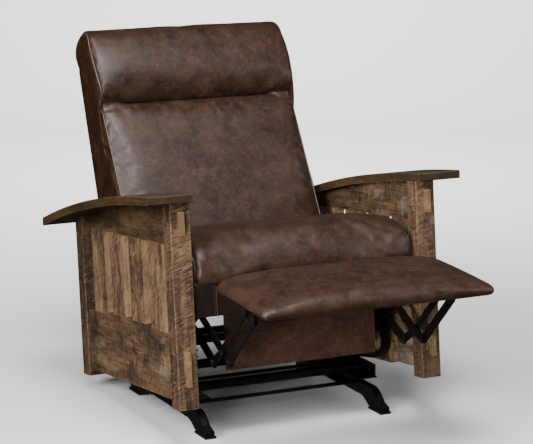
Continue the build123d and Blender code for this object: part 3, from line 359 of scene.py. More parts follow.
for side in ("left", "right"):
    dress("front_post_" + side, post_wood)
    dress("rear_post_" + side, post_wood)
    # The right lower rail takes the pale wood with painted light.
    dress("lower_rail_" + side, rail_wood if side == "left" else painted_light_inner_rail_wood)
    dress("top_rail_" + side, top_rail_wood if side == "left" else rail_wood)
    dress("side_slats_" + side, slat_wood)
    dress("arm_" + side, arm_wood)
dress("tenon_pegs", peg_wood)
for name in (
    "mounting_boards", "seat_side_boards", "seat_front_rail", "seat_rear_rail", "skirt_cleat",
    "back_stiles", "back_rails", "footrest_board",
):
    dress(name, frame_wood)


# Steelwork: the rocker base, cams and folding linkage are stamped and bent steel in gloss black
# enamel. Bolts, pins and inserts are zinc plated, the rivets are blackened steel, and the springs are
# blackened wire.
def black_enamel(name, tone, roughness):
    """Black enamel with a fine orange peel and dusty, slightly rubbed patches."""
    material, tree, shader = new_material(name)
    place = add(tree, "TexCoord").outputs["Object"]
    dust = noise(tree, place, 34.0, 5.0, 0.6)
    colour = mix(tree, ramp(tree, dust, [(0.55, 0.0), (0.85, 0.4)]), tone, "#2a2b2e")
    tree.links.new(colour, shader.inputs["Base Color"])
    rough = ramp(tree, dust, [(0.35, roughness), (0.75, roughness + 0.22)])
    tree.links.new(rough, shader.inputs["Roughness"])
    shader.inputs["Specular IOR Level"].default_value = 0.35
    shader.inputs["Coat Weight"].default_value = 0.12
    shader.inputs["Coat Roughness"].default_value = 0.2
    peel = noise(tree, place, 700.0, 2.0)
    bump = add(tree, "Bump", {"Height": peel, "Strength": 0.12, "Distance": 0.0004})
    tree.links.new(bump.outputs[0], shader.inputs["Normal"])
    return material


def plated_steel(name, tone, roughness):
    """Zinc plate: dull metal with cloudy variation."""
    material, tree, shader = new_material(name)
    place = add(tree, "TexCoord").outputs["Object"]
    cloud = noise(tree, place, 160.0, 4.0)
    colour = mix(tree, ramp(tree, cloud, [(0.35, 0.0), (0.7, 0.6)]), tone, "#5c5d5e")
    tree.links.new(colour, shader.inputs["Base Color"])
    shader.inputs["Metallic"].default_value = 0.9
    rough = ramp(tree, cloud, [(0.3, roughness), (0.8, roughness + 0.25)])
    tree.links.new(rough, shader.inputs["Roughness"])
    return material


enamel = black_enamel("gloss_black_enamel_on_steel", "#050506", 0.26)
wire_black = black_enamel("oil_blackened_spring_wire", "#141312", 0.38)
zinc = plated_steel("zinc_plated_steel", "#a9abae", 0.32)
rivet_steel = plated_steel("blackened_steel_rivets", "#2c2c2e", 0.3)
black_plastic = black_enamel("moulded_black_plastic", "#0b0b0c", 0.5)

for name in ("base_rail_left", "base_rail_right"):
    dress(name, enamel, bevel=0.003)
for name in (
    "rocker_platforms", "tube_brackets", "lower_spring_plates", "upper_spring_plates", "cross_bars",
    "mechanism_plate_left", "mechanism_plate_right", "mechanism_rails", "rear_links", "front_links",
    "carrier_links", "outer_links", "footrest_brackets", "recline_brackets",
):
    dress(name, enamel, bevel=0.0008)
for name in ("rocker_cam_left", "rocker_cam_right"):
    dress(name, enamel, bevel=0.0015)
for name in ("base_cross_tubes", "tie_rods"):
    dress(name, enamel)
for name in ("seat_springs", "rocker_springs"):
    dress(name, wire_black)

# The rocker springs are open coils of 5 mm wire, held between the plates of base and chair. They
# lean and close up as it rocks; here a merged copy of their mesh, its doubled points joined, stands
# in for them, and the imported springs are hidden.
coils_mesh = nodes["rocker_springs"].data.copy()
coils_mesh.name = "rocker_spring_coils"
coils = bpy.data.objects.new("rocker_spring_coils", coils_mesh)
bpy.context.collection.objects.link(coils)
joined = bmesh.new()
joined.from_mesh(coils_mesh)
bmesh.ops.remove_doubles(joined, verts=joined.verts, dist=0.00001)
joined.to_mesh(coils_mesh)
joined.free()
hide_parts("rocker_springs")
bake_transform(coils)
dress("rail_inserts", zinc, bevel=0.0006)
for name in ("plate_rivets", "rear_link_rivets", "front_link_rivets", "footrest_rivets"):
    dress(name, rivet_steel, bevel=0.0006)
for name in ("recline_pins", "mechanism_bolts"):
    dress(name, zinc, bevel=0.0006)
dress("foot_glides", black_plastic, bevel=0.0015)


# Leather: dark brown hide, waxed and then distressed, so that rust-brown shows in fine veins and
# scuffs over a mottled ground. It has a fine pebble grain and a soft sheen.
def distressed_leather(name, shift, tones, roughness=0.36, specular=0.44):
    """Hide: cloudy ground, three nets of fine veins along distorted cell edges, 1.3 mm grain.

    Tones are three for the ground, from dark to light, then one for the rust clouds and one for the veins.
    """
    material, tree, shader = new_material(name)
    raw = add(tree, "TexCoord").outputs["Object"]
    place = add(tree, "Mapping", {"Vector": raw, "Location": shift}, vector_type="POINT").outputs[0]
    swirl = {"Vector": place, "Scale": 34.0, "Detail": 5.0, "Roughness": 0.6}
    bend = add(tree, "TexNoise", swirl).outputs["Color"]
    moved = add(tree, "Mix", data_type="RGBA", blend_type="LINEAR_LIGHT")
    moved.inputs[0].default_value = 0.035
    tree.links.new(place, moved.inputs[6])
    tree.links.new(bend, moved.inputs[7])
    bent = moved.outputs[2]
    ground = noise(tree, place, 15.0, 8.0, 0.68, 0.5)
    colour = ramp(tree, ground, [(0.34, tones[0]), (0.5, tones[1]), (0.66, tones[2])])
    rust = ramp(tree, noise(tree, bent, 24.0, 8.0, 0.74), [(0.5, 0.0), (0.7, 1.0)])
    colour = layer(tree, colour, rust, 0.3, tones[3])
    for scale, width, share in ((31.0, 0.03, 0.55), (58.0, 0.045, 0.55), (115.0, 0.06, 0.36)):
        net = add(tree, "TexVoronoi", {"Vector": bent, "Scale": scale}, feature="DISTANCE_TO_EDGE")
        vein = ramp(tree, net.outputs["Distance"], [(0.0, 1.0), (width, 0.0)])
        fade = ramp(tree, noise(tree, place, scale * 0.7, 5.0, 0.65), [(0.42, 0.0), (0.58, 1.0)])
        colour = layer(tree, colour, math_node(tree, "MULTIPLY", vein, fade), share, tones[4])
    tree.links.new(colour, shader.inputs["Base Color"])
    gloss = ramp(tree, noise(tree, place, 30.0, 5.0, 0.62), [(0.35, roughness), (0.7, roughness + 0.14)])
    tree.links.new(gloss, shader.inputs["Roughness"])
    shader.inputs["Specular IOR Level"].default_value = specular
    grain = add(tree, "TexVoronoi", {"Vector": bent, "Scale": 780.0}, feature="F1").outputs["Distance"]
    crease = noise(tree, bent, 95.0, 6.0, 0.68)
    height = math_node(tree, "MULTIPLY", grain, 0.3)
    height = math_node(tree, "ADD", height, math_node(tree, "MULTIPLY", crease, 0.7))
    bump = add(tree, "Bump", {"Height": height, "Strength": 0.3, "Distance": 0.0009})
    tree.links.new(bump.outputs[0], shader.inputs["Normal"])
    return material


hide_tones = ("#1d130e", "#2c1f17", "#392920", "#43281a", "#6a432e")
shaded_side_tones = ("#140b06", "#25160c", "#33200f", "#47250f", "#6a3c1e")
skirt_tones = ("#1a0f0b", "#2b1c15", "#3a271d", "#492b1d", "#684230")
shaded_front_tones = ("#0c0705", "#130d09", "#1b120d", "#261610", "#392216")
hide = "distressed_brown_leather"
cushion_leather = distressed_leather(hide, (0.0, 0.0, 0.0), hide_tones)
# Painted shade: the cushion ends, the back shell and the front fold take darker tones than the cushion
# faces, as shade on the sides the front lamps fall on less.
painted_shade_side_leather = distressed_leather(
    hide + "_sides_painted_shade", (1.7, 0.9, 0.3), shaded_side_tones, roughness=0.5, specular=0.16
)
skirt_leather = distressed_leather(
    hide + "_skirt", (0.4, 2.2, 1.3), skirt_tones, roughness=0.44, specular=0.25
)
# Painted shade: the seat front cover, under the seat's roll, is given these much darker tones.
painted_shade_front_leather = distressed_leather(
    hide + "_front", (0.9, 1.4, 2.1), shaded_front_tones, roughness=0.48, specular=0.2
)

# The welts are the same hide, coloured a pale grey all over as a painted highlight along the seams, and
# smooth. The thread is waxed and grey-brown, and its twist is drawn coarser than the real one so that it
# shows.
welt_painted_highlight, _, welt_shader = new_material("welt_leather_painted_highlight")
welt_shader.inputs["Base Color"].default_value = linear("#574d48")
welt_shader.inputs["Roughness"].default_value = 0.38
thread, thread_tree, thread_shader = new_material("grey_brown_waxed_thread")
thread_shader.inputs["Base Color"].default_value = linear("#6b5f57")
thread_shader.inputs["Roughness"].default_value = 0.6
ply = {"Vector": add(thread_tree, "TexCoord").outputs["Object"], "Scale": 180.0, "Distortion": 2.0}
twist = add(thread_tree, "TexWave", ply, bands_direction="DIAGONAL")
relief = {"Height": twist.outputs["Fac"], "Strength": 0.5, "Distance": 0.0003}
twist_bump = add(thread_tree, "Bump", relief)
thread_tree.links.new(twist_bump.outputs[0], thread_shader.inputs["Normal"])


# Upholstery forms, in the chair's own directions: y to the back along the level seat frame and z up
# the posts, from the foot of the front posts, in millimetres, then turned and moved into the room.
post_foot_y, post_foot_z = -270.8, 109.6


def to_room(x, y, z):
    """Room place of a chair place: y cos t + z sin t and z cos t - y sin t from the post's foot."""
    c, s = math.cos(chair_lean), math.sin(chair_lean)
    return np.stack([x, y * c + z * s + post_foot_y, z * c - y * s + post_foot_z], axis=-1) / 1000.0


def arc(a, b, c, count):
    """Points on the circle round o from a through b to c, first point in, last point out."""
    a, b, c = (np.array(p, float) for p in (a, b, c))
    d = 2 * (a[0] * (b[1] - c[1]) + b[0] * (c[1] - a[1]) + c[0] * (a[1] - b[1]))
    if abs(d) < 1e-6:
        share = np.linspace(0, 1, count, endpoint=False)[:, None]
        return a + (c - a) * share
    sq = [p @ p for p in (a, b, c)]
    o = np.array([
        (sq[0] * (b[1] - c[1]) + sq[1] * (c[1] - a[1]) + sq[2] * (a[1] - b[1])) / d,
        (sq[0] * (c[0] - b[0]) + sq[1] * (a[0] - c[0]) + sq[2] * (b[0] - a[0])) / d,
    ])
    start, through, end = (math.atan2(*(p - o)[::-1]) for p in (a, b, c))
    span = (end - start) % (2 * math.pi)
    if (through - start) % (2 * math.pi) > span:
        span -= 2 * math.pi
    angle = start + span * np.linspace(0, 1, count, endpoint=False)
    return o + np.hypot(*(a - o)) * np.stack([np.cos(angle), np.sin(angle)], axis=-1)


def line(a, b, count):
    """Evenly spaced points from a towards b, last point left out."""
    share = np.linspace(0, 1, count, endpoint=False)[:, None]
    return np.array(a, float) + (np.array(b, float) - np.array(a, float)) * share


def ringed_mesh(name, rings):
    """A closed skin over (rings, points, 3), with a fan at each end, its faces turned outwards."""
    rings = np.asarray(rings, float)
    count, around, _ = rings.shape
    i, j = np.meshgrid(np.arange(count - 1), np.arange(around), indexing="ij")
    k = (j + 1) % around
    quads = np.stack([i * around + j, i * around + k, (i + 1) * around + k, (i + 1) * around + j], axis=-1)
    points = np.concatenate([rings.reshape(-1, 3), rings[:1].mean(axis=1), rings[-1:].mean(axis=1)])
    first, last = count * around, count * around + 1
    j = np.arange(around)
    k = (j + 1) % around
    tail = (count - 1) * around
    fans = np.concatenate([
        np.stack([np.full(around, first), k, j], axis=-1),
        np.stack([np.full(around, last), tail + j, tail + k], axis=-1),
    ])
    quads = quads.reshape(-1, 4)
    corners = points[np.concatenate([quads[:, :3], quads[:, [0, 2, 3]], fans])]
    volume = np.einsum("ij,ij->i", corners[:, 0], np.cross(corners[:, 1], corners[:, 2])).sum()
    if volume < 0:
        quads = quads[:, ::-1]
        fans = fans[:, ::-1]
    return mesh_object(name, points, quads.tolist() + fans.tolist())


def end_rings(ring, outwards, bulge, shares=(0.1, 0.3, 0.52, 0.72, 0.88, 0.97)):
    """Rings that close an end: the last ring drawn to its middle and swelled by bulge (1 - s^2)."""
    centre = ring.mean(axis=0)
    made = []
    for share in shares:
        inner = centre + (ring - centre) * share
        inner[:, 0] += outwards * bulge * (1 - share**2)
        made.append(inner)
    return made


def inflate(piece, pinned, cap, pressure=4.0, growth=0.012, stiff=22.0, frames=20):
    """Blows the skin up with cloth over the frames; each point moves at most cap, as cap tanh(d/cap)."""
    mesh = piece.data
    start = np.empty(len(mesh.vertices) * 3)
    mesh.vertices.foreach_get("co", start)
    group = piece.vertex_groups.new(name="held")
    for index in np.nonzero(pinned)[0]:
        group.add([int(index)], 1.0, "REPLACE")
    cloth = piece.modifiers.new("cloth", "CLOTH")
    settings = cloth.settings
    settings.quality = 5
    settings.mass = 0.35
    settings.tension_stiffness = stiff
    settings.compression_stiffness = stiff
    settings.shear_stiffness = 8.0
    settings.bending_stiffness = 1.2
    settings.air_damping = 2.0
    settings.vertex_group_mass = "held"
    settings.use_pressure = True
    settings.uniform_pressure_force = pressure
    settings.shrink_min = -growth
    settings.effector_weights.gravity = 0.0
    cloth.collision_settings.use_collision = False
    cloth.point_cache.frame_start = 1
    cloth.point_cache.frame_end = frames
    for number in range(1, frames + 1):
        bpy.context.scene.frame_set(number)
    shown = piece.evaluated_get(bpy.context.evaluated_depsgraph_get())
    moved = np.empty(len(mesh.vertices) * 3)
    shown.data.vertices.foreach_get("co", moved)
    step = (moved - start).reshape(-1, 3)
    length = np.linalg.norm(step, axis=1, keepdims=True)
    step *= cap * np.tanh(length / cap) / np.maximum(length, 1e-9)
    piece.modifiers.remove(cloth)
    mesh.vertices.foreach_set("co", (start.reshape(-1, 3) + step).ravel())
    bpy.context.scene.frame_set(1)
    mesh.update()


def points_of(piece):
    """The mesh's points as an array."""
    flat = np.empty(len(piece.data.vertices) * 3)
    piece.data.vertices.foreach_get("co", flat)
    return flat.reshape(-1, 3)


def normals_of(piece):
    """The mesh's point normals as an array."""
    flat = np.empty(len(piece.data.vertices) * 3)
    piece.data.vertices.foreach_get("normal", flat)
    return flat.reshape(-1, 3)


def end_seams(piece, around, first, last, part=slice(None)):
    """The rings where the boxing meets the cover at each end, or a part of them."""
    points = points_of(piece)
    return [points[ring * around : (ring + 1) * around][part] for ring in (first, last)]


def ring_and_slot(piece, around):
    """The ring that each point is on, and its place round it."""
    order = np.arange(len(piece.data.vertices))
    return order // around, order % around


def move_points(piece, offset):
    """Adds an offset to each point."""
    piece.data.vertices.foreach_set("co", (points_of(piece) + offset).ravel())
    piece.data.update()


def smooth_once(piece):
    """One level of subdivision, shown and rendered alike."""
    finer = piece.modifiers.new("finer", "SUBSURF")
    finer.levels = 1
    finer.render_levels = 1


def thin_tube(name, path, radius, across, closed=False, sides=6):
    """A round cord along a path: rings of radius r around it, square to across and to the path."""
    path = np.asarray(path, float)
    if closed:
        way = np.roll(path, -1, axis=0) - np.roll(path, 1, axis=0)
    else:
        way = np.gradient(path, axis=0)
    way /= np.linalg.norm(way, axis=1, keepdims=True)
    first = np.cross(way, across)
    first /= np.maximum(np.linalg.norm(first, axis=1, keepdims=True), 1e-9)
    second = np.cross(way, first)
    angle = np.linspace(0, 2 * math.pi, sides, endpoint=False)
    rings = path[:, None] + radius * (
        np.cos(angle)[None, :, None] * first[:, None] + np.sin(angle)[None, :, None] * second[:, None]
    )
    if not closed:
        return ringed_mesh(name, rings)
    count = len(path)
    i, j = np.meshgrid(np.arange(count), np.arange(sides), indexing="ij")
    n, k = (i + 1) % count, (j + 1) % sides
    quads = np.stack([i * sides + j, i * sides + k, n * sides + k, n * sides + j], axis=-1).reshape(-1, 4)
    return mesh_object(name, rings.reshape(-1, 3), quads.tolist())


def stitches(name, path, length, gap, radius, across):
    """A row of separate thread stitches along a path, each a short tapered capsule."""
    path = np.asarray(path, float)
    run = np.concatenate([[0], np.cumsum(np.linalg.norm(np.diff(path, axis=0), axis=1))])
    starts = np.arange(gap, run[-1] - length, length + gap)
    shares = np.array([0.0, 0.12, 0.5, 0.88, 1.0])
    widths = np.array([0.35, 0.85, 1.0, 0.85, 0.35])
    marks = starts[:, None] + length * shares[None, :]
    line_points = np.stack([np.interp(marks, run, path[:, i]) for i in range(3)], axis=-1)
    way = line_points[:, -1] - line_points[:, 0]
    way /= np.linalg.norm(way, axis=1, keepdims=True)
    first = np.cross(way, across)
    first /= np.maximum(np.linalg.norm(first, axis=1, keepdims=True), 1e-9)
    second = np.cross(way, first)
    sides = 5
    angle = np.linspace(0, 2 * math.pi, sides, endpoint=False)
    around = np.cos(angle)[None, :, None] * first[:, None] + np.sin(angle)[None, :, None] * second[:, None]
    rings = line_points[:, :, None] + radius * widths[None, :, None, None] * around[:, None]
    count, marks_each = len(starts), len(shares)
    s, i, j = np.meshgrid(np.arange(count), np.arange(marks_each - 1), np.arange(sides), indexing="ij")
    k = (j + 1) % sides
    base = s * marks_each * sides
    near, far = base + i * sides, base + (i + 1) * sides
    quads = np.stack([near + j, near + k, far + k, far + j], axis=-1)
    faces = quads.reshape(-1, 4).tolist()
    caps = [[c * marks_each * sides + j for j in range(sides)][::-1] for c in range(count)]
    caps += [[(c * marks_each + marks_each - 1) * sides + j for j in range(sides)] for c in range(count)]
    return mesh_object(name, rings.reshape(-1, 3), faces + caps)


# Seat cushion: foam in leather, a full roll at the front, boxed ends with a welted seam round each.
def seat_ring(x, inset):
    """Outline at x: flat base, lip over the front rail, nose a quarter ellipse 96 by 79, crowned top."""
    front, low, high, rear_high = -5 + inset, 302.0, 425 - inset, 393 - inset
    roll_run, middle = 96.0, 346.0
    roll = front + roll_run
    top_rear, low_rear = (451 - inset / 2, rear_high), (427 - inset / 2, low)
    lip = (front + 13, 294 + inset * 0.5)
    nose_low = (front + 3, 313 + inset * 0.3)
    quarter = np.radians(np.arange(10) * 9.0)
    ahead = front + roll_run * (1 - np.cos(quarter))
    nose = np.stack([ahead, middle + (high - middle) * np.sin(quarter)], axis=-1)
    crown = ((roll + top_rear[0]) / 2, (high + rear_high) / 2 + 5)
    shape = np.concatenate([
        line((roll, low), (13.5, 301.5), 4), line((13.5, 301.5), lip, 3),
        arc(lip, nose_low, (front, middle), 7), nose,
        arc((roll, high), crown, top_rear, 38), line(top_rear, low_rear, 9), line(low_rear, (roll, low), 34),
    ])
    return to_room(np.full(len(shape), x), shape[:, 0], shape[:, 1])


def stations(half, spacing, inset_radius):
    """Places across the chair from -half to half, with the corner inset at each."""
    angle = np.radians([90, 66, 44, 24])
    ends = half - inset_radius + inset_radius * np.sin(angle)
    middle = np.arange(0, half - inset_radius, spacing)
    xs = np.concatenate([ends, middle[::-1]])
    short = np.maximum(0, inset_radius - (half - xs))
    insets = inset_radius - np.sqrt(np.maximum(inset_radius**2 - short**2, 0))
    return np.concatenate([-xs, xs[::-1][1:]]), np.concatenate([insets, insets[::-1][1:]])


def clothe(piece, around, first, last, main, sides):
    """Main leather between the rings first and last, and the side leather on the faces outside them."""
    piece.data.materials.append(main)
    piece.data.materials.append(sides)
    count = len(piece.data.polygons)
    starts = np.empty(count, int)
    piece.data.polygons.foreach_get("loop_start", starts)
    corner = np.empty(len(piece.data.loops), int)
    piece.data.loops.foreach_get("vertex_index", corner)
    ring = corner // around
    low = np.minimum.reduceat(ring, starts)
    high = np.maximum.reduceat(ring, starts)
    outside = (high <= first) | (low >= last)
    piece.data.polygons.foreach_set("material_index", outside.astype(int))


def gather(piece, seam, reach, height, wave, seed):
    """Fine puckers beside a seam: normal offset height exp(-d / reach) sin(s / wave) along it."""
    points = points_of(piece)
    rng = np.random.default_rng(seed)
    run = np.concatenate([[0], np.cumsum(np.linalg.norm(np.diff(seam, axis=0), axis=1))])
    squared = ((points**2).sum(axis=1)[:, None] - 2 * points @ seam.T + (seam**2).sum(axis=1)[None, :])
    nearest = squared.argmin(axis=1)
    distance = np.sqrt(np.maximum(squared[np.arange(len(points)), nearest], 0))
    along = run[nearest]
    cycle = 6.28
    phase = rng.uniform(0, cycle, 3)
    ripple = (
        np.sin(along * cycle / wave + phase[0]) + 0.7 * np.sin(along * cycle / (wave * 0.61) + phase[1])
    ) * (0.6 + 0.4 * np.sin(along * cycle / (wave * 4.3) + phase[2]))
    fade = np.exp(-distance / reach) * np.minimum(1, distance / (0.25 * reach))
    move_points(piece, normals_of(piece) * (height * ripple * fade)[:, None])


crosswise = (1.0, 0.0, 0.0)
welt_radius = 0.0019
seat_half = 301.0
xs, insets = stations(seat_half, spacing=11.0, inset_radius=15.0)
rings = [seat_ring(x, 7 + inset + 5 * (abs(x) / seat_half) ** 4) for x, inset in zip(xs, insets)]
left_end = end_rings(rings[0], -1, 0.0015)
right_end = end_rings(rings[-1], 1, 0.0015)[::-1]
around = len(rings[0])
first, last = len(left_end), len(left_end) + len(rings) - 1
seat = ringed_mesh("seat_cushion_leather", left_end + rings + right_end)
ring_of, slot_of = ring_and_slot(seat, around)
on_skin = ring_of <= last + len(right_end)
rear_and_base = slot_of >= 62
seat_held = (ring_of == first) | (ring_of == last) | (on_skin & rear_and_base)
inflate(seat, seat_held, cap=0.012)
seams = end_seams(seat, around, first, last)
for seed, seam in enumerate(seams):
    gather(seat, seam, reach=0.018, height=0.0011, wave=0.019, seed=seed)
smooth_once(seat)
clothe(seat, around, first, last, cushion_leather, painted_shade_side_leather)
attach(seat, "chair")
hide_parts("seat_cushion")
for label, seam in zip(("left", "right"), seams):
    welt = thin_tube("seat_welt_" + label, seam, welt_radius, crosswise, closed=True)
    welt.data.materials.append(welt_painted_highlight)
    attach(welt, "chair")


# Back: one cover over the back cushion and the head pillow. A deep tuck under the pillow runs over
# the middle of the width and ends in short tucks that reach the side seams.
back_lean = math.radians(25.5)
back_foot_y, back_foot_z = 438.9, 319.5


def back_place(rise, depth):
    """Chair place of a point: rise up the leaning back face and depth rearwards, square to it."""
    s, c = math.sin(back_lean), math.cos(back_lean)
    return (back_foot_y + rise * s + depth * c, back_foot_z + rise * c - depth * s)


def back_ring(x, inset, half=284.0):
    """Outline at x: crowned front, tuck at rise 462, pillow that swells 36 mm, roll over the top."""
    share = abs(x) / half
    tuck = 4 + 24 * (1 - 1 / (1 + math.exp((226 - abs(x)) / 7)))
    full = 1 - 0.16 * share**6
    crown = 8 * (1 - share**4)
    front = inset + 3
    points = [
        back_place(84.8, 141.3), back_place(38, 34), back_place(26, 16 + inset), back_place(46, front + 2),
        back_place(238, front - crown), back_place(430, front + 1), back_place(452, front + 5),
        back_place(461.5, tuck + inset), back_place(468, tuck * 0.42 - 15 * full + inset),
        back_place(512, inset - 34 * full), back_place(566, inset - 35 * full),
        back_place(628, inset - 26 * full), back_place(668, inset - 4),
        back_place(683 - inset, 20 + inset), back_place(686 - inset, 52),
        back_place(680 - inset, 80), back_place(654, 97), back_place(622, 94), back_place(614, 88),
    ]
    shape = np.concatenate([
        line(points[0], points[1], 14), arc(points[1], points[2], points[3], 6),
        arc(points[3], points[4], points[5], 44), arc(points[5], points[6], points[7], 5),
        arc(points[7], points[8], points[9], 11), arc(points[9], points[10], points[11], 12),
        arc(points[11], points[12], points[13], 8), arc(points[13], points[14], points[15], 7),
        arc(points[15], points[16], points[17], 7), line(points[17], points[18], 2),
        line(points[18], points[0], 40),
    ])
    ahead, up = shape[:, 0] - back_foot_y, shape[:, 1] - back_foot_z
    rise = ahead * math.sin(back_lean) + up * math.cos(back_lean)
    swell = 1 + 0.03 * np.sin(math.pi * np.clip((rise - 464) / 226, 0, 1))
    return to_room(x * swell, shape[:, 0], shape[:, 1])


stitch_size = (0.0042, 0.0016, 0.0006)  # length, gap and radius of the thread
off_back = np.array([0.0, -0.9, 0.43])  # out of the leaning back face
tuck_slot = 69
seen_slots = slice(14, 114)
xs, insets = stations(283.0, spacing=10.0, inset_radius=11.0)
rings = [back_ring(x, 1 + inset * 0.8) for x, inset in zip(xs, insets)]
left_end = end_rings(rings[0], -1, 0.002)
right_end = end_rings(rings[-1], 1, 0.002)[::-1]
around = len(rings[0])
back = ringed_mesh("back_cover_leather", left_end + rings + right_end)
first, last = len(left_end), len(left_end) + len(rings) - 1
ring_of, slot_of = ring_and_slot(back, around)
on_skin = ring_of <= last + len(right_end)
against_shell = (slot_of >= 116) | (slot_of < 12)
in_tuck = np.abs(slot_of - tuck_slot) <= 1
back_held = (ring_of == first) | (ring_of == last) | (on_skin & (against_shell | in_tuck))
inflate(back, back_held, cap=0.009)
seams = end_seams(back, around, first, last, seen_slots)
tuck_line = points_of(back)[first * around + tuck_slot : (last + 1) * around : around]
for seed, seam in enumerate(seams):
    gather(back, seam, reach=0.02, height=0.0011, wave=0.021, seed=seed + 7)
for seed, seam in enumerate((tuck_line[:9], tuck_line[-9:])):
    gather(back, seam, reach=0.02, height=0.0016, wave=0.017, seed=seed + 3)
smooth_once(back)
clothe(back, around, first, last, cushion_leather, painted_shade_side_leather)
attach(back, "back")
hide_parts("back_cushion", "head_pillow")
for label, seam in zip(("left", "right"), seams):
    welt = thin_tube("back_welt_" + label, seam, welt_radius, crosswise)
    welt.data.materials.append(welt_painted_highlight)
    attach(welt, "back")
    # The stitches run 6 mm inside the seam and 2.2 mm out from it.
    inner = seam.copy()
    inner[:, 0] -= np.sign(inner[:, 0]) * 0.006
    inner += off_back * 0.0022
    row = stitches("back_stitches_" + label, inner, *stitch_size, crosswise)
    row.data.materials.append(thread)
    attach(row, "back")


# Footrest: a thin crowned pad over its board. The leather wraps the edges in a full round, with the
# rear corners cut round and a folded pleat at each front corner.
pad_slope = math.radians(8.5)
pad_half = 310.0
pad_roll = 16.0
pad_foot_y, pad_foot_z = -97.0, 299.0


def pad_place(y, z):
    """Chair place of a pad place: from its rear lower edge, sloping 8.5 degrees down to the front."""
    c, s = math.cos(pad_slope), math.sin(pad_slope)
    return (pad_foot_y + y * c - z * s, pad_foot_z + y * s + z * c)


def corner_cut(x, radius):
    """How far a round corner of that radius draws the edge in at x: r - sqrt(r^2 - s^2)."""
    short = max(0.0, radius - (pad_half - abs(x)))
    return radius - math.sqrt(max(0.0, radius**2 - short**2))


def pad_ring(x, turn):
    """Outline at x; turn is 0 in the middle and 1 at the end, where the edge has rolled under."""
    share = abs(x) / pad_half
    rolled = 1 - math.sqrt(max(0.0, 1 - turn**2))
    high = 27 + 22 * (1 - share**5) - 13 * rolled
    low = 11 * rolled + 4 * share**8
    rear = corner_cut(x, 38)
    nose = 291 - corner_cut(x, pad_roll)
    span = high - low
    bulge = low + span * 0.42
    front_run, rear_run = span * 1.25, span * 0.8
    rising = np.radians(np.arange(7) * 90 / 7)
    falling = np.radians(90 - np.arange(8) * 90 / 8)
    rear_edge = np.stack([
        -rear - rear_run * (1 - np.cos(rising)), bulge + (high - bulge) * np.sin(rising),
    ], axis=-1)
    top_rear, top_front = (-rear - rear_run, high), (-nose + front_run, high * 0.98)
    top = arc(top_rear, (-(rear + nose) / 2, high * 1.04), top_front, 26)
    nose_edge = np.stack([
        -nose + front_run * (1 - np.cos(falling)), bulge + (high * 0.98 - bulge) * np.sin(falling),
    ], axis=-1)
    base_front, base_rear = (-nose + span * 0.4, low), (-rear - span * 0.3, low)
    under = arc((-nose, bulge), (-nose + span * 0.1, low + span * 0.13), base_front, 6)
    base = line(base_front, base_rear, 20)
    back_under = arc(base_rear, (-rear - span * 0.08, low + span * 0.14), (-rear, bulge), 6)
    flat = np.concatenate([rear_edge, top, nose_edge, under, base, back_under])
    shape = np.stack(pad_place(flat[:, 0], flat[:, 1]), axis=-1)
    return to_room(np.full(len(shape), x), shape[:, 0], shape[:, 1])


angle = np.radians([90, 72, 55, 38, 20])
outer = pad_half - pad_roll + pad_roll * np.sin(angle)
xs = np.concatenate([outer, np.array([290.0, 285.0, 279.0, 271.0]), np.arange(0, 262, 10.5)[::-1]])
turns = np.concatenate([np.sin(angle) * 0.98, np.zeros(len(xs) - len(angle))])
xs = np.concatenate([-xs, xs[::-1][1:]])
turns = np.concatenate([turns, turns[::-1][1:]])
rings = [pad_ring(x, turn) for x, turn in zip(xs, turns)]
left_end = end_rings(rings[0], -1, 0.0)
right_end = end_rings(rings[-1], 1, 0.0)[::-1]
around = len(rings[0])
pad = ringed_mesh("footrest_pad_leather", left_end + rings + right_end)
_, slot_of = ring_and_slot(pad, around)
on_board = slot_of >= 45
at_ends = np.abs(points_of(pad)[:, 0]) > 0.268
nose_slot = 38
inflate(pad, on_board | at_ends, cap=0.005, pressure=3.0, growth=0.004)
first, last = len(left_end), len(left_end) + len(rings) - 1
nose_line = points_of(pad)[first * around + nose_slot : (last + 1) * around : around]
for seed, corner in enumerate((nose_line[4:9], nose_line[-9:-4])):
    gather(pad, corner, reach=0.02, height=0.0013, wave=0.02, seed=seed + 20)
smooth_once(pad)
pad.data.materials.append(cushion_leather)
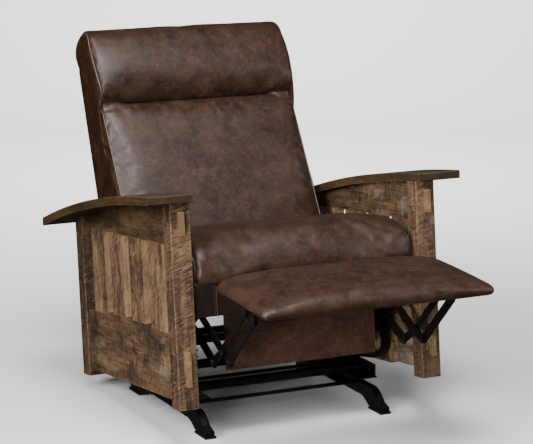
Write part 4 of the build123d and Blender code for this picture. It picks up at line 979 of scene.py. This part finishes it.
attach(pad, "footrest")
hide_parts("footrest_pad")


# Back shell: leather over the rear third of the back, pulled tight over its frame, with a seam down
# each side where it meets the front cover.
def shell_ring(x, inset):
    """Outline at x of the shell between the seam plane and the rear face, its arrises rounded."""
    rise_top, low = 614.0, 330.6
    seam_foot, seam_top = back_place(84.8, 141.3), back_place(rise_top, 86.2)
    brow = back_place(rise_top, 112 - inset)
    brow_turn, brow_end = back_place(rise_top - 4, 119 - inset), back_place(rise_top - 11, 124 - inset)
    rear_foot = back_place(116, 215.5 - inset)
    shape = np.concatenate([
        line(seam_foot, seam_top, 30), line(seam_top, brow, 4), arc(brow, brow_turn, brow_end, 4),
        line(brow_end, rear_foot, 40), line(rear_foot, seam_foot, 8),
    ])
    shape[:, 1] = np.maximum(shape[:, 1], low)
    return to_room(np.full(len(shape), x), shape[:, 0], shape[:, 1])


xs, insets = stations(283.5, spacing=14.0, inset_radius=9.0)
rings = [shell_ring(x, inset) for x, inset in zip(xs, insets)]
left_end = end_rings(rings[0], -1, 0.0006)
right_end = end_rings(rings[-1], 1, 0.0006)[::-1]
shell = ringed_mesh("back_shell_leather", left_end + rings + right_end)
smooth_once(shell)
shell.data.materials.append(painted_shade_side_leather)
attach(shell, "back")
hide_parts("back_shell")


# Seat front: leather over the front rail, with one upright fold near its left end and a row of
# stitches beside it. The skirt panel below it is leather on a board that hangs from a cleat.
# The cover's near-black leather is painted shade under the seat's roll.
dress("seat_front_cover", painted_shade_front_leather, bevel=0.003)
dress("skirt_panel", skirt_leather, bevel=0.002)
heights = np.linspace(224.0, 299.0, 24)
fold_path = to_room(np.full_like(heights, -255.0), np.full_like(heights, 12.0), heights)
fold = thin_tube("seat_front_fold", fold_path, 0.0016, crosswise)
fold.data.materials.append(painted_shade_side_leather)
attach(fold, "chair")
row_path = to_room(np.full_like(heights, -250.0), np.full_like(heights, 11.8), heights)
row = stitches("seat_front_stitches", row_path, *stitch_size, crosswise)
row.data.materials.append(thread)
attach(row, "chair")
